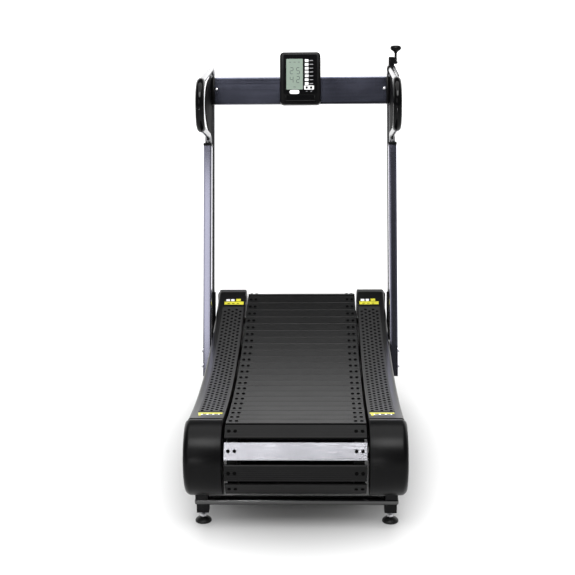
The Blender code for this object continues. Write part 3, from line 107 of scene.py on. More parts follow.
class Graph:
    """Node graph of one material, or of the surroundings."""

    def __init__(self, owner: bpy.types.Material | bpy.types.World) -> None:
        """Takes the owner's nodes and its main shader."""
        owner.use_nodes = True
        self.tree = owner.node_tree
        self.shader = self.tree.nodes.get("Principled BSDF") or self.tree.nodes["Background"]

    def node(
        self,
        kind: str,
        settings: dict[str, object] | None = None,
        sockets: dict[str | int, object] | None = None,
        output: str | int = 0,
    ) -> Value:
        """Adds a node.

        Args:
            kind: Blender's name of the node type.
            settings: Properties of the node, set before its sockets.
            sockets: Constants or values for its inputs.
            output: The output to return.

        Returns:
            That output as a value.
        """
        made = self.tree.nodes.new(kind)
        for name, setting in (settings or {}).items():
            setattr(made, name, setting)
        for key, given in (sockets or {}).items():
            self.feed(made.inputs[key], given)
        return Value(self, made.outputs[output])

    def feed(self, socket: bpy.types.NodeSocket, given: object) -> None:
        """Links a value to a socket, or sets the socket's constant."""
        if isinstance(given, Value):
            self.tree.links.new(given.socket, socket)
        else:
            socket.default_value = given

    def noise(self, scale: float, detail: float, stretch: Sequence[float], lean: float = 0.0) -> Value:
        """Noise on the object's own coordinates.

        Args:
            scale: Cells per metre before stretching.
            detail: Number of finer layers.
            stretch: Share of the scale along each axis.
            lean: Turn of the pattern about X, in radians.

        Returns:
            The noise, from 0 to 1.
        """
        place = self.node("ShaderNodeTexCoord", output="Object")
        mapped = self.node(
            "ShaderNodeMapping",
            {"vector_type": "TEXTURE"},
            {"Vector": place, "Rotation": (lean, 0, 0), "Scale": tuple(1 / share for share in stretch)},
        )
        return self.node("ShaderNodeTexNoise", None, {"Vector": mapped, "Scale": scale, "Detail": detail})

    def ramp(self, value: Value, low: float, high: float) -> Value:
        """Smooth step from 0 at the low end of a range to 1 at its high end."""
        ends = {"Value": value, "From Min": low, "From Max": high}
        return self.node("ShaderNodeMapRange", {"interpolation_type": "SMOOTHSTEP"}, ends)

    def tone(self, colour: Sequence[float], other: Sequence[float], share: Value) -> Value:
        """Blend of two colours by a share."""
        return self.node(
            "ShaderNodeMix",
            {"data_type": "RGBA"},
            {"Factor": share, "A": (*colour, 1), "B": (*other, 1)},
            output=2,
        )


class Grain(Enum):
    """Fine surface pattern of a finish: share of the scale along X, Y and Z."""

    EVEN = (1.0, 1.0, 1.0)
    ACROSS = (0.012, 1.0, 1.0)
    ALONG = (1.0, 1.0, 0.012)


@dataclass(frozen=True)
class Finish:
    """One finish of the machine, with wear that varies over its surface."""

    name: str
    slot: str
    colour: tuple[float, float, float]
    roughness: float
    metallic: float = 0.0
    coat: float = 0.0
    grain: Grain = Grain.EVEN
    grain_scale: float = 900.0
    relief: float = 0.08
    wear: float = 0.06
    tint: float = 0.12
    lean: float = 0.0
    specular: float = 0.5

    def material(self) -> bpy.types.Material:
        """Procedural material: fine grain as relief, broad patches as wear."""
        material = bpy.data.materials.new(self.name)
        graph = Graph(material)
        shader = graph.shader.inputs
        fine = graph.noise(self.grain_scale, 2.0, self.grain.value, self.lean)
        patches = graph.noise(9.0, 3.0, Grain.EVEN.value)
        pale = tuple(min(1.0, part * (1 + self.tint) + 0.02 * self.tint) for part in self.colour)
        deep = tuple(part * (1 - self.tint) for part in self.colour)
        blend = (patches * 0.6 + fine * 0.4).clamped()
        graph.feed(shader["Base Color"], graph.tone(deep, pale, blend))
        rough = self.roughness - self.wear + (patches + fine) * self.wear
        graph.feed(shader["Roughness"], rough)
        shader["Metallic"].default_value = self.metallic
        shader["Coat Weight"].default_value = self.coat
        shader["Coat Roughness"].default_value = 0.12
        shader["Specular IOR Level"].default_value = self.specular
        if self.relief:
            bump = graph.node(
                "ShaderNodeBump", None, {"Height": fine, "Strength": self.relief, "Distance": 0.0004}
            )
            graph.feed(shader["Normal"], bump)
        return material


COVER = Finish(
    "satin_moulding",
    "cover_black",
    (0.002, 0.002, 0.0022),
    0.30,
    relief=0.04,
    grain_scale=1400,
    specular=0.09,
)
STEEL = Finish(
    "powder_coat", "frame_black", (0.003, 0.003, 0.0035), 0.34, relief=0.10, grain_scale=700, specular=0.12
)
GUSSET = Finish(
    "gusset_coat", "frame_black", (0.002, 0.002, 0.0025), 0.6, relief=0.1, grain_scale=700, specular=0.03
)
PAD = Finish(
    "step_pad", "cover_black", (0.009, 0.009, 0.0093), 0.48, relief=0.3, grain_scale=1200, specular=0.25
)
NUB = Finish("step_nub", "cover_black", (0.002, 0.002, 0.002), 0.6, relief=0.0, specular=0.0)
SLAT = Finish(
    "slat_tread",
    "slat_charcoal",
    (0.004, 0.004, 0.0042),
    0.38,
    grain=Grain.ACROSS,
    relief=0.2,
    tint=0.18,
    specular=0.13,
)
BELT = Finish("carrier_rubber", "slat_charcoal", (0.006, 0.006, 0.006), 0.7, relief=0.3, specular=0.2)
RUBBER = Finish("tyre_rubber", "belt_rubber", (0.008, 0.008, 0.008), 0.45, relief=0.2, specular=0.3)
FOAM = Finish(
    "grip_foam",
    "grip_foam",
    (0.0015, 0.0015, 0.0017),
    0.10,
    relief=0.02,
    grain_scale=1600,
    wear=0.02,
    specular=0.12,
)
CHROME = Finish("satin_tube", "satin_chrome", (0.27, 0.27, 0.28), 0.22, 1.0, relief=0.03)
ALLOY = Finish(
    "brushed_alloy", "polished_alloy", (0.40, 0.40, 0.43), 0.26, 1.0, grain=Grain.ACROSS, relief=0.25
)
POST = Finish(
    "anodised_post",
    "post_anodised",
    (0.34, 0.34, 0.43),
    0.14,
    1.0,
    grain=Grain.ALONG,
    relief=0.0,
    wear=0.02,
    tint=0.05,
    lean=math.radians(-17),
)
BAR = Finish(
    "brushed_bar",
    "crossbar_brushed",
    (0.035, 0.037, 0.052),
    0.24,
    1.0,
    grain=Grain.ACROSS,
    grain_scale=260,
    relief=0.25,
    tint=0.6,
)
TUBE_COAT = Finish(
    "tube_coat", "frame_black", (0.003, 0.003, 0.0035), 0.20, relief=0.0, wear=0.03, specular=1.0
)
ZINC = Finish("bright_zinc", "bright_steel", (0.60, 0.60, 0.62), 0.28, 1.0, relief=0.05)
BLACK_BOLT = Finish("black_bolt", "slat_charcoal", (0.002, 0.002, 0.002), 0.5, relief=0.0, specular=0.0)
GLOSS = Finish(
    "console_overlay", "cover_black", (0.0015, 0.0015, 0.0018), 0.14, relief=0.0, wear=0.02, specular=0.10
)
LCD = Finish(
    "display_glass", "screen_green_grey", (0.21, 0.265, 0.22), 0.18, relief=0.0, wear=0.03, tint=0.05
)
INK = Finish("display_ink", "screen_green_grey", (0.02, 0.03, 0.025), 0.4, relief=0.0, wear=0.02)
WHITE = Finish("white_print", "button_white", (0.85, 0.85, 0.85), 0.4, relief=0.0, wear=0.03, tint=0.03)
GREY = Finish("grey_print", "button_white", (0.22, 0.22, 0.23), 0.5, relief=0.0, wear=0.03, tint=0.03)
YELLOW = Finish("yellow_strip", "button_white", (0.62, 0.58, 0.03), 0.45, relief=0.0, wear=0.04, tint=0.08)
FINISH_OF_SLOT = {
    "polished_alloy": ALLOY,
    "belt_rubber": RUBBER,
    "frame_black": STEEL,
    "cover_black": COVER,
    "screen_green_grey": LCD,
    "crossbar_brushed": BAR,
    "bright_steel": ZINC,
    "grip_foam": FOAM,
    "satin_chrome": CHROME,
    "post_anodised": POST,
    "button_white": WHITE,
    "slat_charcoal": SLAT,
}


# ---------------------------------------------------------------- shapes


def at(point: Vector, across: float = 0.0) -> Vector:
    """Side-plane point set at a distance across the machine."""
    return Vector((across, point[0], point[1]))


def polar(angle: float) -> Vector:
    """Unit side-plane vector at an angle above the forward direction."""
    return Vector((math.cos(angle), math.sin(angle)))


def heading(vector: Vector) -> float:
    """Angle of a side-plane vector above the forward direction."""
    return math.atan2(vector[1], vector[0])


def arc(centre: Vector, radius: float, start: float, end: float, steps: int) -> list[Vector]:
    """Side-plane points along an arc, both ends included."""
    return [centre + polar(start + (end - start) * step / steps) * radius for step in range(steps + 1)]


def rounded(points: Sequence[Vector], radii: Sequence[float], steps: int) -> list[Vector]:
    """Polyline whose inner corners are arcs.

    Args:
        points: Corners and both ends.
        radii: Radius at each inner corner.
        steps: Chords in each arc.

    Returns:
        The points of the rounded line.
    """
    path = [points[0]]
    for before, corner, after, radius in zip(points, points[1:], points[2:], radii):
        into, out = (corner - before).normalized(), (after - corner).normalized()
        turn = into.angle(out)
        reach = radius * math.tan(turn / 2)
        centre = corner + (out - into).normalized() * radius / math.cos(turn / 2)
        first, last = corner - into * reach - centre, corner + out * reach - centre
        for step in range(steps + 1):
            share = step / steps
            weight = math.sin((1 - share) * turn)
            path.append(centre + (first * weight + last * math.sin(share * turn)) / math.sin(turn))
    return path + [points[-1]]


def new_verts(made: dict[str, list]) -> list[bmesh.types.BMVert]:
    """Vertices in what a bmesh operator returned."""
    return [item for item in made["geom"] if isinstance(item, bmesh.types.BMVert)]


class Shape:
    """A mesh being modelled."""

    def __init__(self) -> None:
        """Starts with nothing."""
        self.bm = bmesh.new()

    def drawn(self, outline: Sequence[Vector], near: float, far: float) -> "Shape":
        """Side-plane outline drawn out from one X to another."""
        face = self.bm.faces.new([self.bm.verts.new(at(point, near)) for point in outline])
        made = bmesh.ops.extrude_face_region(self.bm, geom=[face])
        bmesh.ops.translate(self.bm, verts=new_verts(made), vec=(far - near, 0, 0))
        return self

    def block(
        self, low: Sequence[float], high: Sequence[float], edge: float = 0.0, rounds: int = 2
    ) -> "Shape":
        """Block between two corners with rounded edges."""
        low, high = Vector(low), Vector(high)
        placing = Matrix.Translation((low + high) / 2) @ Matrix.Diagonal((*(high - low), 1))
        made = bmesh.ops.create_cube(self.bm, size=1, matrix=placing)["verts"]
        if edge:
            edges = {item for vert in made for item in vert.link_edges}
            self.soften(edges, edge, rounds)
        return self

    def plate(
        self, size: Sequence[float], corner: float, near: float, far: float, edge: float = 0.0
    ) -> "Shape":
        """Rounded rectangle in the XZ plane, drawn along Y.

        Args:
            size: Width and height.
            corner: Radius of its corners.
            near: Y of the face that is looked at.
            far: Y of its back.
            edge: Radius round the rim of the near face.

        Returns:
            The shape itself.
        """
        half_x, half_z = size[0] / 2, size[1] / 2
        fresh = Shape().block((-half_x, near, -half_z), (half_x, far, half_z))
        corners = [item for item in fresh.bm.edges if abs(item.verts[0].co.y - item.verts[1].co.y) > 1e-7]
        fresh.soften(corners, corner, 5)
        if edge:
            rim = [item for item in fresh.bm.edges if all(abs(v.co.y - near) < 1e-7 for v in item.verts)]
            fresh.soften(rim, edge, 3)
        return self.add(fresh)

    def turned(
        self, profile: Sequence[Sequence[float]], centre: Vector, axis: Vector, sides: int
    ) -> "Shape":
        """Profile of (radius, distance) points spun about an axis through a centre."""
        fresh = Shape()
        axis = axis.normalized()
        radial = axis.orthogonal().normalized()
        spots = [centre + radial * radius + axis * along for radius, along in profile]
        verts = [fresh.bm.verts.new(spot) for spot in spots]
        pairs = list(zip(verts, verts[1:]))
        if profile[0][0] > 0:
            pairs.append((verts[-1], verts[0]))
        edges = [fresh.bm.edges.new(pair) for pair in pairs]
        bmesh.ops.spin(
            fresh.bm, geom=verts + edges, cent=centre, axis=axis, angle=math.tau, steps=sides, use_merge=True
        )
        bmesh.ops.remove_doubles(fresh.bm, verts=fresh.bm.verts, dist=1e-6)
        return self.add(fresh.outward())

    def tube(self, path: Sequence[Vector], radii: Sequence[float], sides: int) -> "Shape":
        """Round bar along a path that stays in one plane across X.

        Args:
            path: Points along its axis.
            radii: Radius at each point.
            sides: Sides of its section.

        Returns:
            The shape itself.
        """
        fresh = Shape()
        loops = []
        for index, point in enumerate(path):
            before, after = path[max(index - 1, 0)], path[min(index + 1, len(path) - 1)]
            along = (after - before).normalized()
            turning = Matrix((X_AXIS, along.cross(X_AXIS), along)).transposed().to_4x4()
            made = bmesh.ops.create_circle(
                fresh.bm,
                cap_ends=index in (0, len(path) - 1),
                segments=sides,
                radius=radii[index],
                matrix=Matrix.Translation(point) @ turning,
            )
            loops.append(list({item for vert in made["verts"] for item in vert.link_edges}))
        for first, second in zip(loops, loops[1:]):
            rims = [item for item in first + second if len(item.verts[0].link_edges) > 1]
            bmesh.ops.bridge_loops(fresh.bm, edges=rims)
        return self.add(fresh.outward())

    def outward(self) -> "Shape":
        """The shape with its faces turned outwards."""
        bmesh.ops.recalc_face_normals(self.bm, faces=self.bm.faces)
        return self

    def soften(self, edges: Sequence[bmesh.types.BMEdge], width: float, rounds: int = 3) -> "Shape":
        """Rounds these edges."""
        bmesh.ops.bevel(
            self.bm,
            geom=list(edges),
            offset=width,
            segments=rounds,
            profile=0.5,
            affect="EDGES",
            material=-1,
            clamp_overlap=True,
        )
        return self

    def soften_where(self, test: Callable[[Vector, Vector], bool], width: float, rounds: int = 3) -> "Shape":
        """Rounds each edge whose two ends pass a test."""
        edges = [item for item in self.bm.edges if test(item.verts[0].co, item.verts[1].co)]
        return self.soften(edges, width, rounds)

    def moved(self, placing: Matrix) -> "Shape":
        """The shape put in place by a matrix."""
        bmesh.ops.transform(self.bm, matrix=placing, verts=self.bm.verts)
        return self

    def bent(self, bend: Callable[[Vector], Vector]) -> "Shape":
        """The shape with each vertex moved as a function says."""
        for vert in self.bm.verts:
            vert.co = bend(vert.co)
        return self

    def add(self, other: "Shape") -> "Shape":
        """Takes in another shape's mesh."""
        mesh = bpy.data.meshes.new("part")
        other.bm.to_mesh(mesh)
        other.bm.free()
        self.bm.from_mesh(mesh)
        bpy.data.meshes.remove(mesh)
        return self


class Workshop:
    """Turns shapes into finished pieces on the frame's bodies."""

    def __init__(self) -> None:
        """Starts with no finishes mixed."""
        self.mixed: dict[str, bpy.types.Material] = {}

    def mix(self, finish: Finish) -> bpy.types.Material:
        """Material of a finish, made once."""
        if finish.name not in self.mixed:
            self.mixed[finish.name] = finish.material()
        return self.mixed[finish.name]

    def piece(
        self,
        shape: Shape,
        name: str,
        finish: Finish,
        body: str,
        stands_for: Sequence[str] = (),
        sharp: float = 40.0,
    ) -> bpy.types.Object:
        """Finishes a shape as one piece.

        Args:
            shape: The modelled mesh.
            name: Name of the piece.
            finish: What covers it.
            body: CAD body that it rides on.
            stands_for: CAD nodes that it takes the place of.
            sharp: Angle in degrees above which an edge stays sharp.

        Returns:
            The piece's object.
        """
        mesh = bpy.data.meshes.new(name)
        shape.bm.to_mesh(mesh)
        shape.bm.free()
        mesh.polygons.foreach_set("use_smooth", [True] * len(mesh.polygons))
        mesh.set_sharp_from_angle(angle=math.radians(sharp))
        mesh.materials.append(self.mix(finish))
        made = bpy.data.objects.new(name, mesh)
        bpy.context.scene.collection.objects.link(made)
        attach(made, body)
        if stands_for:
            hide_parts(*stands_for)
        LOG.info("%s on %s: %d faces", name, body, len(mesh.polygons))
        return made

    def dress_nodes(self) -> None:
        """Gives every CAD node the finish of its material slot."""
        for row in frame["record"]["subparts"]:
            node = frame["nodes"][row["node"]]
            node.data.materials.clear()
            node.data.materials.append(self.mix(FINISH_OF_SLOT[row["material_slot"]]))


# ---------------------------------------------------------------- running belt


@dataclass(frozen=True)
class Run:
    """One arc of the belt's pitch line."""

    body: str
    centre: Vector
    radius: float
    start: float
    sweep: float
    outward: int

    @property
    def length(self) -> float:
        """Length along the arc."""
        return self.radius * abs(self.sweep)

    def normal(self, distance: float) -> Vector:
        """Direction away from the belt's inside at a distance along the run."""
        turned = self.start + math.copysign(distance / self.radius, self.sweep)
        return polar(turned) * self.outward

    def point(self, distance: float, offset: float = 0.0) -> Vector:
        """Side-plane point at a distance along the run, offset away from the belt's inside."""
        return self.centre + self.normal(distance) * (self.radius * self.outward + offset)

    def placing(self, distance: float) -> Matrix:
        """Frame on the run, with local Z away from the belt's inside."""
        turning = Matrix.Rotation(heading(self.normal(distance)) - math.pi / 2, 4, "X")
        return Matrix.Translation(at(self.point(distance))) @ turning


def joint_place(name: str) -> Vector:
    """Side-plane place of one of the frame's hinges."""
    place = next(joint["pos_m"] for joint in frame["joints"] if joint["name"] == name)
    return Vector(place[1:])


RUN_NODES = {
    "deck_run": "top",
    "front_drum": "front",
    "return_run": "bottom",
    "rear_drum": "rear",
}


class BeltPath:
    """The closed loop that the belt follows, from the frame's hinges."""

    drum_radius = 0.096
    deck_radius = 3.0
    return_radius = 7.0

    def __init__(self) -> None:
        """Works out the four arcs."""
        self.deck = joint_place("deck_run_travel")
        self.back = joint_place("return_run_travel")
        self.front = joint_place("front_drum_spin")
        self.rear = joint_place("rear_drum_spin")
        deck, back, front, rear = self.deck, self.back, self.front, self.rear
        self.runs = [
            self._run("deck_run", deck, self.deck_radius, rear - deck, front - deck, -1),
            self._run("front_drum", front, self.drum_radius, deck - front, front - back, 1),
            self._run("return_run", back, self.return_radius, front - back, rear - back, 1),
            self._run("rear_drum", rear, self.drum_radius, rear - back, deck - rear, 1),
        ]

    @staticmethod
    def _run(body: str, centre: Vector, radius: float, start: Vector, end: Vector, outward: int) -> Run:
        """Arc between two directions, clockwise on the outside of the loop."""
        first, last = heading(start), heading(end)
        sweep = (last - first) % math.tau if outward < 0 else -((first - last) % math.tau)
        return Run(body, centre, radius, first, sweep, outward)

    @property
    def length(self) -> float:
        """Length round the loop."""
        return sum(run.length for run in self.runs)

    def run_at(self, travelled: float) -> tuple[Run, float]:
        """Run that holds a distance round the loop, and the distance along it."""
        for run in self.runs:
            if travelled < run.length:
                return run, travelled
            travelled -= run.length
        return self.runs[-1], self.runs[-1].length

    def deck_height(self, station: float, offset: float = 0.0) -> float:
        """Height of a line offset from the deck at a station along Y."""
        reach = self.deck_radius - offset
        return self.deck.y - math.sqrt(reach**2 - (station - self.deck.x) ** 2)

    def return_height(self, station: float, offset: float = 0.0) -> float:
        """Height of a line offset below the return run at a station along Y."""
        reach = self.return_radius + offset
        return self.back.y - math.sqrt(reach**2 - (station - self.back.x) ** 2)


@dataclass
class RunningBelt:
    """Slats with ribbed treads on two carrier belts, held by bolts."""

    shop: Workshop
    path: BeltPath
    nominal_pitch: float = 0.060
    gap: float = 0.0037
    half_width: float = 0.223
    top: float = 0.018
    plate: float = 0.007
    foot: float = 0.012
    belt: float = 0.0025
    belt_width: float = 0.030
    belt_setout: float = 0.200
    phase: float = 0.005
    accent: int = -2
    ribs: int = 8
    groove: float = 0.0012
    groove_depth: float = 0.0007
    chamfer: float = 0.0012
    bolt_radius: float = 0.0058
    bolt_height: float = 0.0026
    bolt_places: tuple[float, float] = (0.190, 0.210)

    def section(self, half: float, ribbed: bool) -> list[Vector]:
        """Side view of one slat with a plain or ribbed top.

        Args:
            half: Half the slat's width along the belt.
            ribbed: Whether grooves part its top into ribs.

        Returns:
            Its outline about the pitch line.
        """
        top = [Vector((-half, self.top - self.chamfer)), Vector((-half + self.chamfer, self.top))]
        if ribbed:
            span = 2 * (half - self.chamfer)
            for index in range(1, self.ribs):
                middle = -half + self.chamfer + span * index / self.ribs
                low, high = self.top - self.groove_depth, self.top
                top += [Vector((middle - self.groove / 2, high)), Vector((middle - self.groove / 3, low))]
                top += [Vector((middle + self.groove / 3, low)), Vector((middle + self.groove / 2, high))]
        top += [Vector((half - self.chamfer, self.top)), Vector((half, self.top - self.chamfer))]
        under = self.top - self.plate
        below = [(half, under), (self.foot, under), (self.foot, self.belt), (-self.foot, self.belt)]
        below += [(-self.foot, under), (-half, under)]
        return top + [Vector(spot) for spot in below]

    def bolts(self) -> Shape:
        """Four button heads on a slat."""
        shape = Shape()
        radius, high = self.bolt_radius, self.bolt_height
        profile = [(0, high), (0.7 * radius, high), (radius, 0.6 * high), (radius, -0.0006), (0, -0.0006)]
        for side in SIDES.values():
            for place in self.bolt_places:
                shape.turned(profile, Vector((side * place, 0, self.top)), Z_AXIS, 12)
        return shape

    def build(self) -> None:
        """Builds the slats, bolts and carrier belts of every run, and the accent slat."""
        count = round(self.path.length / self.nominal_pitch)
        pitch = self.path.length / count
        half = (pitch - self.gap) / 2
        stops: dict[str, list[float]] = {run.body: [] for run in self.path.runs}
        accent_at = (self.phase + self.accent * pitch) % self.path.length
        for index in range(count):
            run, distance = self.path.run_at((self.phase + index * pitch) % self.path.length)
            stops[run.body].append(distance)
        accent_run, accent_distance = self.path.run_at(accent_at)
        for run in self.path.runs:
            slats, bolts, belts = Shape(), Shape(), Shape()
            for distance in stops[run.body]:
                bolts.add(self.bolts().moved(run.placing(distance)))
                if run is accent_run and abs(distance - accent_distance) < 1e-6:
                    continue
                slat = Shape().drawn(self.section(half, True), -self.half_width, self.half_width)
                slats.add(slat.outward().moved(run.placing(distance)))
            reach = (pitch - 0.003) / 2
            self.carrier_belts(belts, run, min(stops[run.body]) - reach, max(stops[run.body]) + reach)
            node = RUN_NODES[run.body]
            self.shop.piece(slats, f"{node}_slats", SLAT, run.body, (f"slat_belt_{node}",), 20)
            self.shop.piece(bolts, f"{node}_slat_bolts", BLACK_BOLT, run.body)
            self.shop.piece(belts, f"{node}_carrier_belts", BELT, run.body)
        accent = Shape().drawn(self.section(half, False), -self.half_width, self.half_width)
        accent.outward().moved(accent_run.placing(accent_distance))
        self.shop.piece(accent, "accent_slat_look", ALLOY, accent_run.body, ("accent_slat",), 20)

    def carrier_belts(self, shape: Shape, run: Run, first: float, last: float) -> None:
        """Adds the two rubber belts of a run between two distances along it."""
        steps = 40
        marks = [first + (last - first) * step / steps for step in range(steps + 1)]
        outline = [run.point(mark, -self.belt) for mark in marks]
        outline += [run.point(mark, self.belt) for mark in reversed(marks)]
        for side in SIDES.values():
            near = side * (self.belt_setout - self.belt_width / 2)
            shape.add(Shape().drawn(outline, near, near + side * self.belt_width).outward())


# ---------------------------------------------------------------- foot rails and covers


@dataclass
class FootRails:
    """Covers along both sides of the deck, with step pads and plain marking strips."""

    shop: Workshop
    path: BeltPath
    top: float = 0.0305
    floor: float = 0.0225
    wall: float = 0.003
    lip: float = 0.105
    edge: float = 0.010
    stations: int = 56
    pad_rear: float = -0.548
    pad_front: float = 0.518
    pad_margins: tuple[float, float] = (0.004, 0.024)
    pad_thickness: float = 0.0012
    nub_columns: int = 5
    nub_pitch: float = 0.0290
    nub_size: tuple[float, float, float] = (0.0058, 0.0072, 0.0013)
    nub_turn: float = math.radians(24)

    def lay(self, spot: Vector) -> Vector:
        """Carries a point from a flat rail to the sagging one; Z is height over the rail's top."""
        if spot.z < -1:
            return Vector((spot.x, spot.y, self.path.return_height(spot.y, self.floor)))
        return Vector((spot.x, spot.y, self.path.deck_height(spot.y, self.top) + spot.z))

    def shell(self, side: int, low: Vector, high: Vector) -> Shape:
        """Bent sheet that makes one rail.

        Args:
            side: -1 on the left and 1 on the right.
            low: Lowest corner of the CAD rail.
            high: Highest corner of the CAD rail.

        Returns:
            The sheet, without its thickness.
        """
        inner, outer = sorted((abs(low.x), abs(high.x)))
        profile = [Vector((inner, -self.lip)), Vector((inner, -0.003)), Vector((inner + 0.0009, -0.0009))]
        profile.append(Vector((inner + 0.003, 0)))
        profile += arc(Vector((outer - self.edge, -self.edge)), self.edge, math.pi / 2, 0, 8)
        profile.append(Vector((outer, -2)))
        shape = Shape()
        verts = [shape.bm.verts.new((side * spot.x, low.y, spot.y)) for spot in profile]
        edges = [shape.bm.edges.new(pair) for pair in zip(verts, verts[1:])]
        step = (high.y - low.y) / self.stations
        for _ in range(self.stations):
            made = bmesh.ops.extrude_edge_only(shape.bm, edges=edges)
            bmesh.ops.translate(shape.bm, verts=new_verts(made), vec=(0, step, 0))
            edges = [item for item in made["geom"] if isinstance(item, bmesh.types.BMEdge)]
        return shape.bent(self.lay).outward()

    def slab(self, low: Sequence[float], high: Sequence[float], edge: float = 0.0004) -> Shape:
        """Thin slab on the flat rail, cut across so that it can follow the sag."""
        shape = Shape().block(low, high, edge, 1)
        count = max(1, round((high[1] - low[1]) / 0.02))
        for index in range(1, count):
            station = low[1] + (high[1] - low[1]) * index / count
            geom = list(shape.bm.verts) + list(shape.bm.edges) + list(shape.bm.faces)
            bmesh.ops.bisect_plane(shape.bm, geom=geom, plane_co=(0, station, 0), plane_no=(0, 1, 0))
        return shape.bent(self.lay)

    def build(self) -> None:
        """Builds both rails with all that lies on them."""
        for name, side in SIDES.items():
            low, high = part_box(f"{name}_foot_rail")
            rail = self.shop.piece(
                self.shell(side, low, high), f"{name}_rail_cover", COVER, "frame", (f"{name}_foot_rail",)
            )
            wall = rail.modifiers.new("wall", "SOLIDIFY")
            wall.thickness = self.wall
            wall.offset = -1
            inner, outer = sorted((abs(low.x), abs(high.x)))
            self.pads(name, side, inner + self.pad_margins[0], outer - self.pad_margins[1])

    def pads(self, name: str, side: int, inner: float, outer: float) -> None:
        """Builds the step pad, its nubs and the marking strips of one rail."""
        near, far = sorted((side * inner, side * outer))
        pad = self.slab((near, self.pad_rear, -0.0004), (far, self.pad_front, self.pad_thickness))
        self.shop.piece(pad, f"{name}_step_pad", PAD, "frame")
        nubs = Shape()
        width, length, height = self.nub_size
        column_gap = (far - near - 0.008) / self.nub_columns
        rows = int((self.pad_front - self.pad_rear - 0.02) / self.nub_pitch)
        for column in range(self.nub_columns):
            for row in range(rows):
                x = near + 0.004 + column_gap * (column + 0.5)
                y = self.pad_rear + 0.012 + self.nub_pitch * (row + 0.5 * (column % 2))
                turn = self.nub_turn if column % 2 else -self.nub_turn
                placing = Matrix.Translation((x, y, self.pad_thickness + height / 2 - 0.0002))
                placing = placing @ Matrix.Rotation(turn, 4, "Z") @ Matrix.Diagonal((width, length, 1, 1))
                bmesh.ops.create_cone(
                    nubs.bm, cap_ends=True, segments=8, radius1=1, radius2=0.7, depth=height, matrix=placing
                )
        self.shop.piece(nubs.bent(self.lay), f"{name}_step_nubs", NUB, "frame", sharp=60)
        self.strips(name, near, far)

    def strips(self, name: str, near: float, far: float) -> None:
        """Builds the plain strips and tabs at both ends of a pad, with no words on them."""
        yellow, pale, dark = Shape(), Shape(), Shape()
        under, over = -0.0004, 0.0009
        span = far - near
        yellow.add(self.slab((near + 0.004, 0.538, under), (far - 0.002, 0.561, over)))
        yellow.add(self.slab((near + 0.6 * span, 0.5655, under), (near + 0.82 * span, 0.583, over)))
        pale.add(self.slab((near + 0.12 * span, 0.5655, under), (near + 0.30 * span, 0.580, over)))
        pale.add(self.slab((near + 0.36 * span, 0.5655, under), (near + 0.52 * span, 0.580, over)))
        yellow.add(self.slab((near + 0.002, -0.578, under), (far - 0.004, -0.561, over)))
        pale.add(self.slab((near + 0.06 * span, -0.593, under), (near + 0.86 * span, -0.580, over)))
        yellow.add(self.slab((near + 0.006, -0.604, under), (near + 0.16 * span, -0.580, over)))
        for share in (0.22, 0.44, 0.66):
            start = near + share * span
            dark.add(self.slab((start, -0.5915, over - 0.0003), (start + 0.14 * span, -0.582, over + 0.0003)))
        for share in (0.20, 0.42, 0.64):
            start = near + share * span
            dark.add(self.slab((start, 0.5425, over - 0.0003), (start + 0.12 * span, 0.5475, over + 0.0003)))
        self.shop.piece(yellow, f"{name}_yellow_strips", YELLOW, "frame")
        self.shop.piece(pale, f"{name}_pale_tabs", WHITE, "frame")
        self.shop.piece(dark, f"{name}_dark_tabs", BLACK_BOLT, "frame")


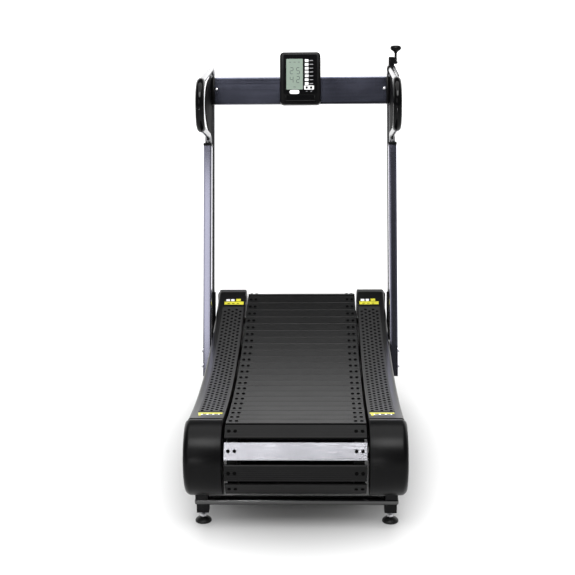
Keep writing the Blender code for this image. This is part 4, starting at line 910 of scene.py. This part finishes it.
@dataclass
class EndCaps:
    """Half-drum covers over the ends of the side frames."""

    shop: Workshop
    path: BeltPath
    radius: float = 0.1255
    joint: float = -0.008
    lift: float = 0.004
    edge: float = 0.020
    inner_edge: float = 0.0025
    wall: float = 0.003
    shaft_room: float = 0.0155

    def shell(self, axle: Vector, facing: int, inner: float, outer: float) -> Shape:
        """Cover of one end, open towards the deck, without its thickness.

        Args:
            axle: Side-plane place of the drum's axle.
            facing: 1 at the front end and -1 at the rear.
            inner: X of its face beside the belt.
            outer: X of its outer face.

        Returns:
            The sheet.
        """
        reach = math.acos(self.joint / self.radius)
        middle = 0.0 if facing > 0 else math.pi
        centre = axle + Vector((0, self.lift))
        rim = arc(centre, self.radius, middle - (math.pi - reach), middle + (math.pi - reach), 48)
        shape = Shape().drawn(rim, inner, outer)
        joint = axle.x - facing * self.joint

        def on_rim(first: Vector, second: Vector, side: float) -> bool:
            """Whether an edge lies on a curved rim of one side."""
            on_side = abs(first.x - side) < 1e-6 and abs(second.x - side) < 1e-6
            return on_side and not (abs(first.y - joint) < 1e-6 and abs(second.y - joint) < 1e-6)

        shape.soften_where(lambda a, b: on_rim(a, b, outer), self.edge, 7)
        shape.soften_where(lambda a, b: on_rim(a, b, inner), self.inner_edge, 2)
        ends = [face for face in shape.bm.faces if all(abs(v.co.y - joint) < 1e-5 for v in face.verts)]
        bmesh.ops.delete(shape.bm, geom=ends, context="FACES")
        for step in (-1, 1):
            self.slit(shape, inner, Vector((0, 0, axle.y + step * self.shaft_room)), Z_AXIS)
        self.slit(shape, inner, Vector((0, axle.x + facing * self.shaft_room, 0)), Y_AXIS)
        slot = [face for face in shape.bm.faces if self.in_slot(face.calc_center_median(), axle, facing, inner)]
        bmesh.ops.delete(shape.bm, geom=slot, context="FACES")
        return shape.outward()

    @staticmethod
    def slit(shape: Shape, inner: float, spot: Vector, normal: Vector) -> None:
        """Cuts the face beside the belt along a plane."""
        faces = [face for face in shape.bm.faces if all(abs(v.co.x - inner) < 1e-5 for v in face.verts)]
        edges = {edge for face in faces for edge in face.edges}
        verts = {vert for face in faces for vert in face.verts}
        geom = [*verts, *edges, *faces]
        bmesh.ops.bisect_plane(shape.bm, geom=geom, plane_co=spot, plane_no=normal)

    def in_slot(self, spot: Vector, axle: Vector, facing: int, inner: float) -> bool:
        """Whether a spot of the inner face lies in the slot for the drum's shaft."""
        level = abs(spot.z - axle.y) < self.shaft_room
        return abs(spot.x - inner) < 1e-5 and level and (spot.y - axle.x) * facing < self.shaft_room

    def build(self) -> None:
        """Builds the four covers."""
        for end, axle, facing in (("rear", self.path.rear, -1), ("front", self.path.front, 1)):
            for name, side in SIDES.items():
                low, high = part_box(f"{name}_{end}_cap")
                inner, outer = sorted((low.x, high.x), key=abs)
                cap = self.shop.piece(
                    self.shell(axle, facing, inner, outer),
                    f"{name}_{end}_cover",
                    COVER,
                    "frame",
                    (f"{name}_{end}_cap",),
                )
                wall = cap.modifiers.new("wall", "SOLIDIFY")
                wall.thickness = self.wall
                wall.offset = -1


# ---------------------------------------------------------------- handles, uprights and crossbar


@dataclass
class HandleLoop:
    """One bent handle tube with its grip, gusset, socket and upright."""

    shop: Workshop
    path: BeltPath
    name: str
    side: int
    tube: float = 0.0125
    grip: float = 0.0165
    post_width: float = 0.031
    post_depth: float = 0.055
    post_length: float = 0.910
    lean: float = math.radians(17)
    post_station: float = 0.226
    post_drop: float = 0.1129
    collar: float = 0.012
    bends: tuple[float, float, float, float] = (0.036, 0.085, 0.060, 0.028)
    steps: int = 14

    @property
    def across(self) -> float:
        """X of the loop's plane."""
        low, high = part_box(f"{self.name}_post")
        return (low.x + high.x) / 2

    def post_placing(self) -> Matrix:
        """Frame of the upright: local Z up its axis, local Y forward, origin at its lower end."""
        height = self.path.deck_height(self.post_station) - self.post_drop
        turning = Matrix.Rotation(-self.lean, 4, "X")
        foot = Matrix.Translation((self.across, self.post_station, height))
        return foot @ turning @ Matrix.Translation((0, self.post_depth / 2, 0))

    def post_top(self, rise: float = 0.0) -> Vector:
        """Side-plane point on the upright's axis over its collar."""
        spot = self.post_placing() @ Vector((0, 0, self.post_length + self.collar + 0.0006 + rise))
        return Vector((spot.y, spot.z))

    def corners(self) -> list[Vector]:
        """Side-plane corners of the handle tube, from its foot round to the upright."""
        top = self.post_top()
        foot = Vector((0.475, self.path.deck_height(0.475) - 0.0833))
        front, rear, low = Vector((0.249, 0.291)), Vector((-0.309, 0.254)), Vector((-0.309, 0.099))
        return [foot, top + front, top + rear, top + low, self.post_top(0.034), top]

    def line(self) -> list[Vector]:
        """Axis of the handle tube."""
        return [at(spot, self.across) for spot in rounded(self.corners(), self.bends, self.steps)]

    def front_placing(self, distance: float) -> Matrix:
        """Frame on the front post, down from its top corner: local Z up the post."""
        foot, front = self.corners()[:2]
        up = (front - foot).normalized()
        turning = Matrix.Rotation(heading(up) - math.pi / 2, 4, "X")
        return Matrix.Translation(at(front - up * distance)) @ turning

    def build(self) -> None:
        """Builds the whole loop."""
        self.build_tube()
        self.build_gusset()
        self.build_post()
        self.build_socket()

    def build_tube(self) -> None:
        """Builds the tube and the foam grip round its two rear bends."""
        line = self.line()
        bar = Shape().tube(line, [self.tube] * len(line), 28)
        self.shop.piece(bar, f"{self.name}_tube", CHROME, "frame", (f"{self.name}_handle_tube",))
        first = 1 + (self.steps + 1)
        hold = line[first : first + 2 * (self.steps + 1)]
        into, out = (hold[1] - hold[0]).normalized(), (hold[-1] - hold[-2]).normalized()
        ends = [(0.0, 0.80), (0.0008, 0.92), (0.003, 1.0)]
        spots = [hold[0] + into * (shift - 0.001) for shift, _ in ends] + hold[2:-2]
        spots += [hold[-1] + out * (0.001 - shift) for shift, _ in reversed(ends)]
        radii = [self.grip * share for _, share in ends] + [self.grip] * len(hold[2:-2])
        radii += [self.grip * share for _, share in reversed(ends)]
        foam = Shape().tube(spots, radii, 28)
        hold = self.shop.piece(foam, f"{self.name}_foam", FOAM, "frame", (f"{self.name}_grip",), 60)

    def build_gusset(self) -> None:
        """Builds the half-oval plate at the front of the loop."""
        low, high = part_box(f"{self.name}_gusset")
        placing = self.front_placing(0.052 + 0.120)
        outline = []
        for step in range(49):
            angle = math.pi * step / 48
            reach = 0.285 * math.sin(angle)
            local = Vector((0, -self.tube - 0.0003 - reach, 0.120 * math.cos(angle)))
            local.z -= reach * math.sin(math.radians(7))
            spot = placing @ local
            outline.append(Vector((spot.y, spot.z)))
        shape = Shape().drawn(outline, low.x, high.x)
        shape.soften_where(lambda a, b: abs(a.x - b.x) < 1e-6, 0.0012, 2)
        self.shop.piece(shape.outward(), f"{self.name}_side_plate", GUSSET, "frame", (f"{self.name}_gusset",))

    def build_post(self) -> None:
        """Builds the upright, a grooved extrusion, with its collar."""
        half_x, half_y, groove = self.post_width / 2, self.post_depth / 2, 0.002
        shape = Shape()
        corners = [(-half_x, -half_y), (-0.0106, -half_y), (-0.0102, groove - half_y)]
        corners += [(-0.0078, groove - half_y), (-0.0074, -half_y)]
        corners += [(-x, y) for x, y in reversed(corners)]
        corners += [(-x, -y) for x, y in corners]
        face = shape.bm.faces.new([shape.bm.verts.new((x, y, 0)) for x, y in corners])
        made = bmesh.ops.extrude_face_region(shape.bm, geom=[face])
        bmesh.ops.translate(shape.bm, verts=new_verts(made), vec=(0, 0, self.post_length))

        def is_corner(first: Vector, second: Vector) -> bool:
            """Whether an edge is one of the four long corners."""
            on_side = all(abs(abs(end.x) - half_x) < 1e-6 for end in (first, second))
            return on_side and abs(first.z - second.z) > 0.1

        shape.soften_where(is_corner, 0.0045, 4)
        placing = self.post_placing()
        post = shape.outward().moved(placing)
        self.shop.piece(post, f"{self.name}_upright", POST, "frame", (f"{self.name}_post",), 20)
        collar = Shape().block(
            (-half_x - 0.001, -half_y - 0.001, self.post_length),
            (half_x + 0.001, half_y + 0.001, self.post_length + self.collar),
            0.003,
            3,
        )
        placed = collar.moved(placing)
        self.shop.piece(placed, f"{self.name}_collar", COVER, "frame", (f"{self.name}_post_collar",))

    def build_socket(self) -> None:
        """Builds the sleeve round the tube's foot and the plate that holds it to the rail."""
        foot, front = self.corners()[:2]
        up = at((front - foot).normalized())
        start = at(foot, self.across)
        outer, length = 0.0165, 0.195
        profile = [(self.tube, 0), (outer - 0.001, 0), (outer, 0.001), (outer, length - 0.003)]
        profile += [(outer - 0.0008, length - 0.0008), (outer - 0.003, length), (self.tube, length)]
        shape = Shape().turned(profile, start, up, 28)
        rail_low, rail_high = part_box(f"{self.name}_foot_rail")
        rail = max(abs(rail_low.x), abs(rail_high.x))
        near, far = sorted((self.side * (rail + 0.0003), self.side * (rail + 0.0058)))
        shape.block(
            (near, foot.x - 0.035, foot.y - 0.030), (far, foot.x + 0.035, foot.y + 0.030), 0.0015, 2
        )
        self.shop.piece(shape, f"{self.name}_socket", COVER, "frame", (f"{self.name}_handle_socket",))
        screws = Shape()
        for shift_y in (-0.025, 0.025):
            for shift_z in (-0.020, 0.020):
                place = Vector((self.side * (rail + 0.0055), foot.x + shift_y, foot.y + shift_z))
                profile = [(0, 0.002), (0.003, 0.0018), (0.0048, 0.0008), (0.005, 0), (0, 0)]
                screws.turned(profile, place, X_AXIS * self.side, 14)
        self.shop.piece(screws, f"{self.name}_socket_screws", ZINC, "frame")


@dataclass
class Crossbar:
    """Brushed bar between the loops, with end blocks and their bolts."""

    shop: Workshop
    loop: HandleLoop
    half: float = 0.350
    depth: float = 0.023
    height: float = 0.110
    drop: float = 0.110
    tube_gap: float = 0.0022
    grooves: tuple[float, ...] = (0.047, 0.041, 0.030, -0.047)

    def placing(self) -> Matrix:
        """Frame at the bar's middle: local Z up its face, local Y away from the runner."""
        back = self.loop.tube + self.tube_gap + self.depth / 2
        return self.loop.front_placing(self.drop) @ Matrix.Translation((0, -back, 0))

    def build(self) -> None:
        """Builds the bar, its end blocks and bolts."""
        half_y, half_z = self.depth / 2, self.height / 2
        face = [Vector((-half_y, half_z))]
        for groove in self.grooves:
            face += [Vector((-half_y, groove + 0.0007)), Vector((0.0006 - half_y, groove + 0.0003))]
            face += [Vector((0.0006 - half_y, groove - 0.0003)), Vector((-half_y, groove - 0.0007))]
        face += [Vector((-half_y, -half_z)), Vector((half_y, -half_z)), Vector((half_y, half_z))]
        bar = Shape().drawn(face, -self.half, self.half)

        def is_corner(first: Vector, second: Vector) -> bool:
            """Whether an edge is one of the four long corners."""
            on_side = all(abs(abs(end.z) - half_z) < 1e-6 for end in (first, second))
            return on_side and abs(first.x - second.x) > 0.1

        bar.soften_where(is_corner, 0.002, 3)
        self.shop.piece(bar.outward().moved(self.placing()), "bar", BAR, "frame", ("crossbar",), 20)
        for name, side in SIDES.items():
            low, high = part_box(f"{name}_crossbar_block")
            inner, outer = sorted((low.x, high.x))
            block = Shape().block((inner, -half_y, -half_z), (outer, half_y, half_z), 0.002, 2)
            block.moved(self.placing())
            self.shop.piece(block, f"{name}_end_block", COVER, "frame", (f"{name}_crossbar_block",))
            bolt = Shape()
            profile = [(0, 0.0028), (0.0028, 0.0028), (0.0032, 0.0022), (0.0052, 0.0018), (0.006, 0), (0, 0)]
            bolt.turned(profile, Vector((side * (self.half - 0.007), -half_y, 0.006)), -Y_AXIS, 20)
            self.shop.piece(bolt.moved(self.placing()), f"{name}_bar_bolt", ZINC, "frame")


# ---------------------------------------------------------------- console


@dataclass
class Console:
    """Console with a display, an indicator column, three keys and a small ledge."""

    shop: Workshop
    bar: Crossbar
    width: float = 0.165
    height: float = 0.213
    depth: float = 0.032
    rise: float = 0.042
    bracket: float = 0.010
    screen: tuple[float, float, float, float] = (-0.0228, 0.0152, 0.067, 0.125)
    lights: int = 7
    light_pitch: float = 0.0156
    light_top: float = 0.0705
    light_across: float = 0.0262
    digits: tuple[str, ...] = ("abged", "afgcd", "fgbc", "abged")
    segments: dict[str, tuple[float, float, bool]] = field(
        default_factory=lambda: {
            "a": (0, 1, True),
            "b": (0.5, 0.5, False),
            "c": (0.5, -0.5, False),
            "d": (0, -1, True),
            "e": (-0.5, -0.5, False),
            "f": (-0.5, 0.5, False),
            "g": (0, 0, True),
        }
    )

    def placing(self) -> Matrix:
        """Frame at the middle of the console's face: local Z up the face, local Y into it."""
        front = self.bar.depth / 2 + self.bracket + 0.0006 + self.depth
        return self.bar.placing() @ Matrix.Translation((0, -front, self.rise))

    def flat(self, across: float, up: float, size: tuple[float, float], corner: float, near: float) -> Shape:
        """Thin printed or raised shape on the console's face."""
        shape = Shape().plate(size, corner, near, 0.0006)
        return shape.moved(Matrix.Translation((across, 0, up)))

    def settle(self, shape: Shape, name: str, finish: Finish, stands_for: Sequence[str] = ()) -> None:
        """Puts a shape of the console in place as a piece of the frame."""
        self.shop.piece(shape.moved(self.placing()), name, finish, "frame", stands_for)

    def build(self) -> None:
        """Builds the housing, display, print and keys."""
        body = Shape().plate((self.width, self.height), 0.016, 0, self.depth, 0.006)
        self.settle(body, "console_body", COVER, ("console_housing",))
        overlay = self.flat(0, 0.0155, (0.136, 0.160), 0.006, -0.0008)
        self.settle(overlay, "console_overlay", GLOSS)
        self.build_ledge()
        self.build_display()
        self.build_print()
        self.build_keys()

    def build_ledge(self) -> None:
        """Builds the small ledge under the display."""
        recess = self.flat(0, -0.0805, (0.118, 0.020), 0.004, -0.0006)
        self.settle(recess, "console_recess", GLOSS)
        lip = Shape().block((-0.060, -0.0065, -0.0965), (0.060, 0.001, -0.0915), 0.0018, 3)
        for side in SIDES.values():
            low, high = sorted((side * 0.056, side * 0.060))
            lip.block((low, -0.0055, -0.0945), (high, 0.001, -0.0720), 0.0015, 3)
        self.settle(lip, "console_ledge", COVER)

    def build_display(self) -> None:
        """Builds the display and its digits."""
        across, up, width, height = self.screen
        glass = self.flat(across, up, (width, height), 0.003, -0.0012)
        self.settle(glass, "console_display", LCD, ("console_screen",))
        ink = Shape()
        for index, lit in enumerate(self.digits):
            column, row = index % 2, index // 2
            middle = (across - 0.012 + 0.026 * column, up + 0.014 - 0.036 * row)
            for name in lit:
                shift_x, shift_z, flat = self.segments[name]
                size = (0.010, 0.0022) if flat else (0.0022, 0.0105)
                spot_x, spot_z = middle[0] + 0.012 * shift_x, middle[1] + 0.0125 * shift_z
                ink.add(self.flat(spot_x, spot_z, size, 0.0006, -0.0014))
        for index in range(3):
            ink.add(self.flat(across - 0.018 + 0.018 * index, up + 0.049, (0.008, 0.0022), 0.0005, -0.0014))
        ink.add(self.flat(across, up - 0.052, (0.010, 0.0022), 0.0005, -0.0014))
        self.settle(ink, "console_digits", INK)

    def build_print(self) -> None:
        """Builds the indicator column and its plain marks."""
        white, grey = Shape(), Shape()
        for index in range(self.lights):
            up = self.light_top - index * self.light_pitch
            white.add(self.flat(self.light_across, up, (0.0145, 0.0105), 0.0012, -0.0011))
            grey.add(self.flat(self.light_across + 0.0185, up, (0.0150, 0.0030), 0.0006, -0.0010))
        white.add(self.flat(0.0355, -0.0394, (0.0400, 0.0165), 0.0030, -0.0010))
        for across, width in ((0.026, 0.006), (0.044, 0.006)):
            grey.add(self.flat(across, -0.0545, (width, 0.0016), 0.0004, -0.0010))
        grey.add(self.flat(0.044, -0.0545, (0.0016, 0.006), 0.0004, -0.0010))
        self.settle(white, "console_lights", WHITE)
        self.settle(grey, "console_marks", GREY)

    def build_keys(self) -> None:
        """Builds the three keys on their own bodies."""
        keys = {
            "start": (-0.0233, -0.0575, 0.040, 0.016, WHITE),
            "minus": (0.026, -0.0394, 0.010, 0.010, GLOSS),
            "plus": (0.044, -0.0394, 0.010, 0.010, GLOSS),
        }
        for name, (across, up, width, height, finish) in keys.items():
            shape = Shape().plate((width, height), 0.47 * height, -0.0026, 0.004, 0.0007)
            shape.moved(self.placing() @ Matrix.Translation((across, 0, up)))
            self.shop.piece(shape, f"{name}_cap", finish, f"{name}_key", (f"{name}_button",))


# ---------------------------------------------------------------- lever, feet and wheels


@dataclass
class LeverSet:
    """Clamp on the right arm with the resistance lever and its knob."""

    shop: Workshop
    loop: HandleLoop
    station: float = 0.640
    clamp: float = 0.0175
    length: float = 0.026
    ear: float = 0.011
    thickness: float = 0.010
    ear_rise: float = 0.030
    pivot: float = 0.026
    reach: float = 0.036
    knob: float = 0.022
    knob_height: float = 0.030

    def placing(self) -> Matrix:
        """Frame on the handle's upper arm: local Y along the arm, Z up."""
        front, rear = self.loop.corners()[1:3]
        share = (self.station - rear.x) / (front.x - rear.x)
        turning = Matrix.Rotation(heading(front - rear), 4, "X")
        return Matrix.Translation(at(rear.lerp(front, share), self.loop.across)) @ turning

    def build(self) -> None:
        """Builds the clamp, the lever, its pin and the knob."""
        arm, half = self.placing(), self.length / 2
        tube = self.loop.tube
        rim = [(tube + 0.0002, -half), (self.clamp - 0.0015, -half), (self.clamp, 0.0015 - half)]
        profile = rim + [(radius, -along) for radius, along in reversed(rim)]
        shape = Shape().turned(profile, Vector(), Y_AXIS, 28)
        low = (-self.ear, 0.001 - half, self.clamp - 0.003)
        high = (self.ear, half - 0.001, self.clamp + self.ear_rise)
        shape.block(low, high, 0.003, 3)
        self.shop.piece(shape.moved(arm), "lever_clamp", COVER, "frame", ("lever_bracket",))
        pivot = arm @ Matrix.Translation((0, 0, self.pivot))
        near = self.ear + 0.0005
        lever = Shape().drawn(self.lever_outline(), near, near + self.thickness)
        lever.soften_where(lambda a, b: abs(a.x - b.x) < 1e-6, 0.0012, 2)
        pin = [(0, 0.0135), (0.002, 0.0133), (0.0042, 0.012), (0.0045, 0.010), (0.0045, 0.0), (0, 0.0)]
        lever.turned(pin, Vector((near, 0, 0)), X_AXIS, 18)
        self.shop.piece(lever.outward().moved(pivot), "lever_arm", STEEL, "lever", ("resistance_lever",))
        shares = [(0, 0), (0.30, 0), (0.30, 0.06), (0.36, 0.14), (0.52, 0.24), (0.80, 0.38), (0.96, 0.50)]
        shares += [(1.0, 0.64), (0.98, 0.78), (0.88, 0.90), (0.70, 0.97), (0.4, 1.0), (0, 1.0)]
        profile = [(across * self.knob, up * self.knob_height) for across, up in shares]
        knob = Shape().turned(profile, Vector((near + self.thickness / 2, 0, self.reach + 0.0003)), Z_AXIS, 32)
        self.shop.piece(knob.moved(pivot), "lever_grip", COVER, "lever", ("lever_knob",), 60)

    def lever_outline(self) -> list[Vector]:
        """Side view of the lever about its pivot."""
        outline = arc(Vector((0, 0)), 0.007, math.pi, math.tau, 14)
        return outline + [Vector((0.0049, self.reach)), Vector((-0.0049, self.reach))]


@dataclass
class Undercarriage:
    """Levelling feet, transport wheels and the rear cross tube."""

    shop: Workshop
    pad: float = 0.0265
    stud: float = 0.006
    stud_top: float = 0.052

    def build(self) -> None:
        """Builds the feet, wheels and cross tube."""
        for end in ("rear", "front"):
            for name in SIDES:
                self.build_foot(f"{name}_{end}_foot")
        for name in SIDES:
            self.build_wheel(name)
        self.build_cross_tube()

    def build_foot(self, node: str) -> None:
        """Builds one levelling foot with a domed pad, threaded stud and lock nut."""
        low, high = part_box(node)
        centre = Vector(((low.x + high.x) / 2, (low.y + high.y) / 2, low.z))
        dome = [(0, 0), (self.pad - 0.0015, 0), (self.pad, 0.0015), (self.pad, 0.006), (0.0250, 0.0085)]
        dome += [(0.0215, 0.0120), (0.0165, 0.0150), (0.0105, 0.0172), (0.0098, 0.0195), (0, 0.0195)]
        self.shop.piece(
            Shape().turned(dome, centre, Z_AXIS, 40), f"{node}_pad", RUBBER, node, (node,)
        )
        thread = [(0, 0.018)]
        turns = 18
        for index in range(turns):
            base = 0.0195 + (self.stud_top - 0.0195) * index / turns
            thread += [(self.stud, base), (self.stud - 0.0006, base + 0.001)]
        thread.append((0, self.stud_top))
        stud = Shape().turned(thread, centre, Z_AXIS, 20)
        bmesh.ops.create_cone(
            stud.bm,
            cap_ends=True,
            segments=6,
            radius1=0.0112,
            radius2=0.0112,
            depth=0.0075,
            matrix=Matrix.Translation(centre + Vector((0, 0, 0.0235))),
        )
        self.shop.piece(stud, f"{node}_stud", ZINC, node, sharp=35)

    def build_wheel(self, name: str) -> None:
        """Builds one transport wheel with a grooved tyre and a hub."""
        low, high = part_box(f"{name}_transport_wheel")
        centre, half = (low + high) / 2, (high.x - low.x) / 2
        radius = (high.z - low.z) / 2
        rim = [(0.0054, -half), (0.009, -half), (0.010, -half + 0.002), (0.019, -half + 0.002)]
        rim += [(0.021, -half), (radius - 0.003, -half), (radius - 0.0008, -half + 0.001)]
        rim += [(radius, -half + 0.003), (radius, -0.002), (radius - 0.001, -0.001)]
        profile = rim + [(r, -along) for r, along in reversed(rim)]
        wheel = Shape().turned(profile, centre, X_AXIS, 40)
        node = f"{name}_transport_wheel"
        self.shop.piece(wheel, f"{name}_tyre", RUBBER, f"{name}_wheel", (node,))

    def build_cross_tube(self) -> None:
        """Builds the rear cross tube with its foot blocks."""
        low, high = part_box("rear_cross_tube")
        tube_floor = high.z - 0.022
        shape = Shape().block((low.x, low.y, tube_floor), (high.x, high.y, high.z), 0.008, 5)
        blocks, half, inset = Shape(), 0.020, 0.001
        for side in SIDES.values():
            middle = side * 0.304
            near = (middle - half, low.y + inset, low.z)
            far = (middle + half, high.y - inset, tube_floor + 0.004)
            blocks.block(near, far, 0.002, 2)
        self.shop.piece(blocks, "rear_foot_blocks", STEEL, "frame")
        self.shop.piece(shape, "rear_tube", TUBE_COAT, "frame", ("rear_cross_tube",))


# ---------------------------------------------------------------- studio


@dataclass(frozen=True)
class SoftLight:
    """One rectangular studio light."""

    name: str
    place: tuple[float, float, float]
    target: tuple[float, float, float]
    size: tuple[float, float]
    power: float

    def build(self) -> None:
        """Adds the light to the scene."""
        lamp = bpy.data.lights.new(self.name, "AREA")
        lamp.shape = "RECTANGLE"
        lamp.size, lamp.size_y = self.size
        lamp.energy = self.power
        made = bpy.data.objects.new(self.name, lamp)
        made.location = self.place
        facing = Vector(self.target) - Vector(self.place)
        made.rotation_euler = facing.to_track_quat("-Z", "Y").to_euler()
        bpy.context.scene.collection.objects.link(made)


@dataclass
class Studio:
    """Camera, floor and soft lights."""

    place: tuple[float, float, float] = (0.0772, -4.2823, 1.6603)
    tilt: float = math.radians(13.5)
    turn: float = 0.0275
    roll: float = -0.009
    lens: float = 75.70
    room: float = 0.02
    backdrop: float = 1.9
    # Painted light on the floor: the glow grows with distance from the machine and towards the front, and leaves a
    # painted darker zone round the machine.
    fade_shape: tuple[float, float] = (2.2, 0.8)
    fade: tuple[float, float] = (0.15, 0.90)
    far: tuple[float, float] = (0.9, 3.2)
    glow_near: float = 0.5
    glow_far: float = 0.5
    lights: tuple[SoftLight, ...] = (
        SoftLight("overhead_panel", (0.0, -0.6, 4.2), (0, -0.6, 0), (4.0, 4.0), 151),
        SoftLight("high_back_panel", (0.0, -5.0, 7.1), (0, -0.7, 0.3), (5.0, 3.0), 600),
        SoftLight("left_high_panel", (-1.9, -5.2, 3.0), (0, 0.3, 0.8), (3.2, 1.8), 28),
        SoftLight("left_low_panel", (-1.4, -5.2, 0.75), (0, -0.7, 0.25), (1.8, 0.9), 7),
        SoftLight("small_left_lamp", (-0.86, -5.2, 0.8), (0, 0.3, 1.2), (0.2, 0.1), 16),
    )

    def build(self) -> None:
        """Builds the whole studio."""
        self.build_camera()
        for light in self.lights:
            light.build()
        self.build_floor()
        self.build_world()

    def build_camera(self) -> None:
        """Adds the camera."""
        sin_turn, cos_turn = math.sin(self.turn), math.cos(self.turn)
        sin_tilt, cos_tilt = math.sin(self.tilt), math.cos(self.tilt)
        ahead = Vector((-sin_turn * cos_tilt, cos_turn * cos_tilt, -sin_tilt))
        right = Vector((cos_turn, sin_turn, 0))
        up = Vector((-sin_turn * sin_tilt, cos_turn * sin_tilt, cos_tilt))
        level = math.cos(self.roll)
        slant = math.sin(self.roll)
        axes = (level * right + slant * up, level * up - slant * right, -ahead)
        lens = bpy.data.cameras.new("camera")
        lens.lens = self.lens
        lens.sensor_width = 36
        camera = bpy.data.objects.new("camera", lens)
        camera.matrix_world = Matrix.Translation(self.place) @ Matrix(axes).transposed().to_4x4()
        bpy.context.scene.collection.objects.link(camera)
        bpy.context.scene.camera = camera

    def build_floor(self) -> None:
        """Adds the pale floor, which glows with painted light away from the machine; the glow fades to nothing
        near the machine, so the floor round it gets a painted darker zone on top of its real shadow.
        """
        ground = Shape()
        bmesh.ops.create_grid(ground.bm, x_segments=1, y_segments=1, size=30)
        mesh = bpy.data.meshes.new("floor")
        ground.bm.to_mesh(mesh)
        ground.bm.free()
        paint = bpy.data.materials.new("floor_paint")
        graph = Graph(paint)
        graph.shader.inputs["Base Color"].default_value = (0.46, 0.46, 0.46, 1)
        graph.shader.inputs["Roughness"].default_value = 0.5
        place = graph.node("ShaderNodeTexCoord", output="Object")
        across, ahead = (
            graph.node("ShaderNodeSeparateXYZ", None, {0: place}, output=axis) for axis in "XY"
        )
        # Painted light: emission that is zero near the machine and full far from it and ahead, so the floor is
        # painted darker round the machine and brighter further out.
        away = across * across * self.fade_shape[0] + ahead * ahead * self.fade_shape[1]
        glow = graph.ramp(away, *self.fade) * self.glow_near
        glow = glow + graph.ramp(ahead, *self.far) * self.glow_far
        graph.feed(graph.shader.inputs["Emission Color"], graph.tone((0, 0, 0), (1, 1, 1), glow))
        graph.shader.inputs["Emission Strength"].default_value = 1.0
        mesh.materials.append(paint)
        floor = bpy.data.objects.new("floor", mesh)
        floor.location.z = -0.0005
        bpy.context.scene.collection.objects.link(floor)

    def build_world(self) -> None:
        """Lights the scene from a white backdrop ahead and a dark room behind and above."""
        world = bpy.data.worlds.new("surround")
        graph = Graph(world)
        direction = graph.node("ShaderNodeTexCoord", output="Generated")
        along, up = (
            graph.node("ShaderNodeSeparateXYZ", None, {0: direction}, output=axis) for axis in "YZ"
        )
        ahead, raised = graph.ramp(along, 0.1, 0.6), graph.ramp(up, 0.25, 0.7)
        room = (self.room, self.room, self.room)
        graph.feed(graph.shader.inputs["Color"], graph.tone(room, (1, 1, 1), ahead * (1 - raised)))
        graph.shader.inputs["Strength"].default_value = self.backdrop
        bpy.context.scene.world = world
        bpy.context.scene.view_settings.view_transform = "Standard"


def main() -> None:
    """Builds every class in order."""
    shop = Workshop()
    shop.dress_nodes()
    path = BeltPath()
    RunningBelt(shop, path).build()
    FootRails(shop, path).build()
    EndCaps(shop, path).build()
    loops = {name: HandleLoop(shop, path, name, side) for name, side in SIDES.items()}
    for loop in loops.values():
        loop.build()
    bar = Crossbar(shop, loops["right"])
    bar.build()
    Console(shop, bar).build()
    LeverSet(shop, loops["right"]).build()
    Undercarriage(shop).build()
    Studio().build()


if __name__ == "__main__":
    logging.basicConfig(level=logging.INFO, format="%(message)s")
    main()
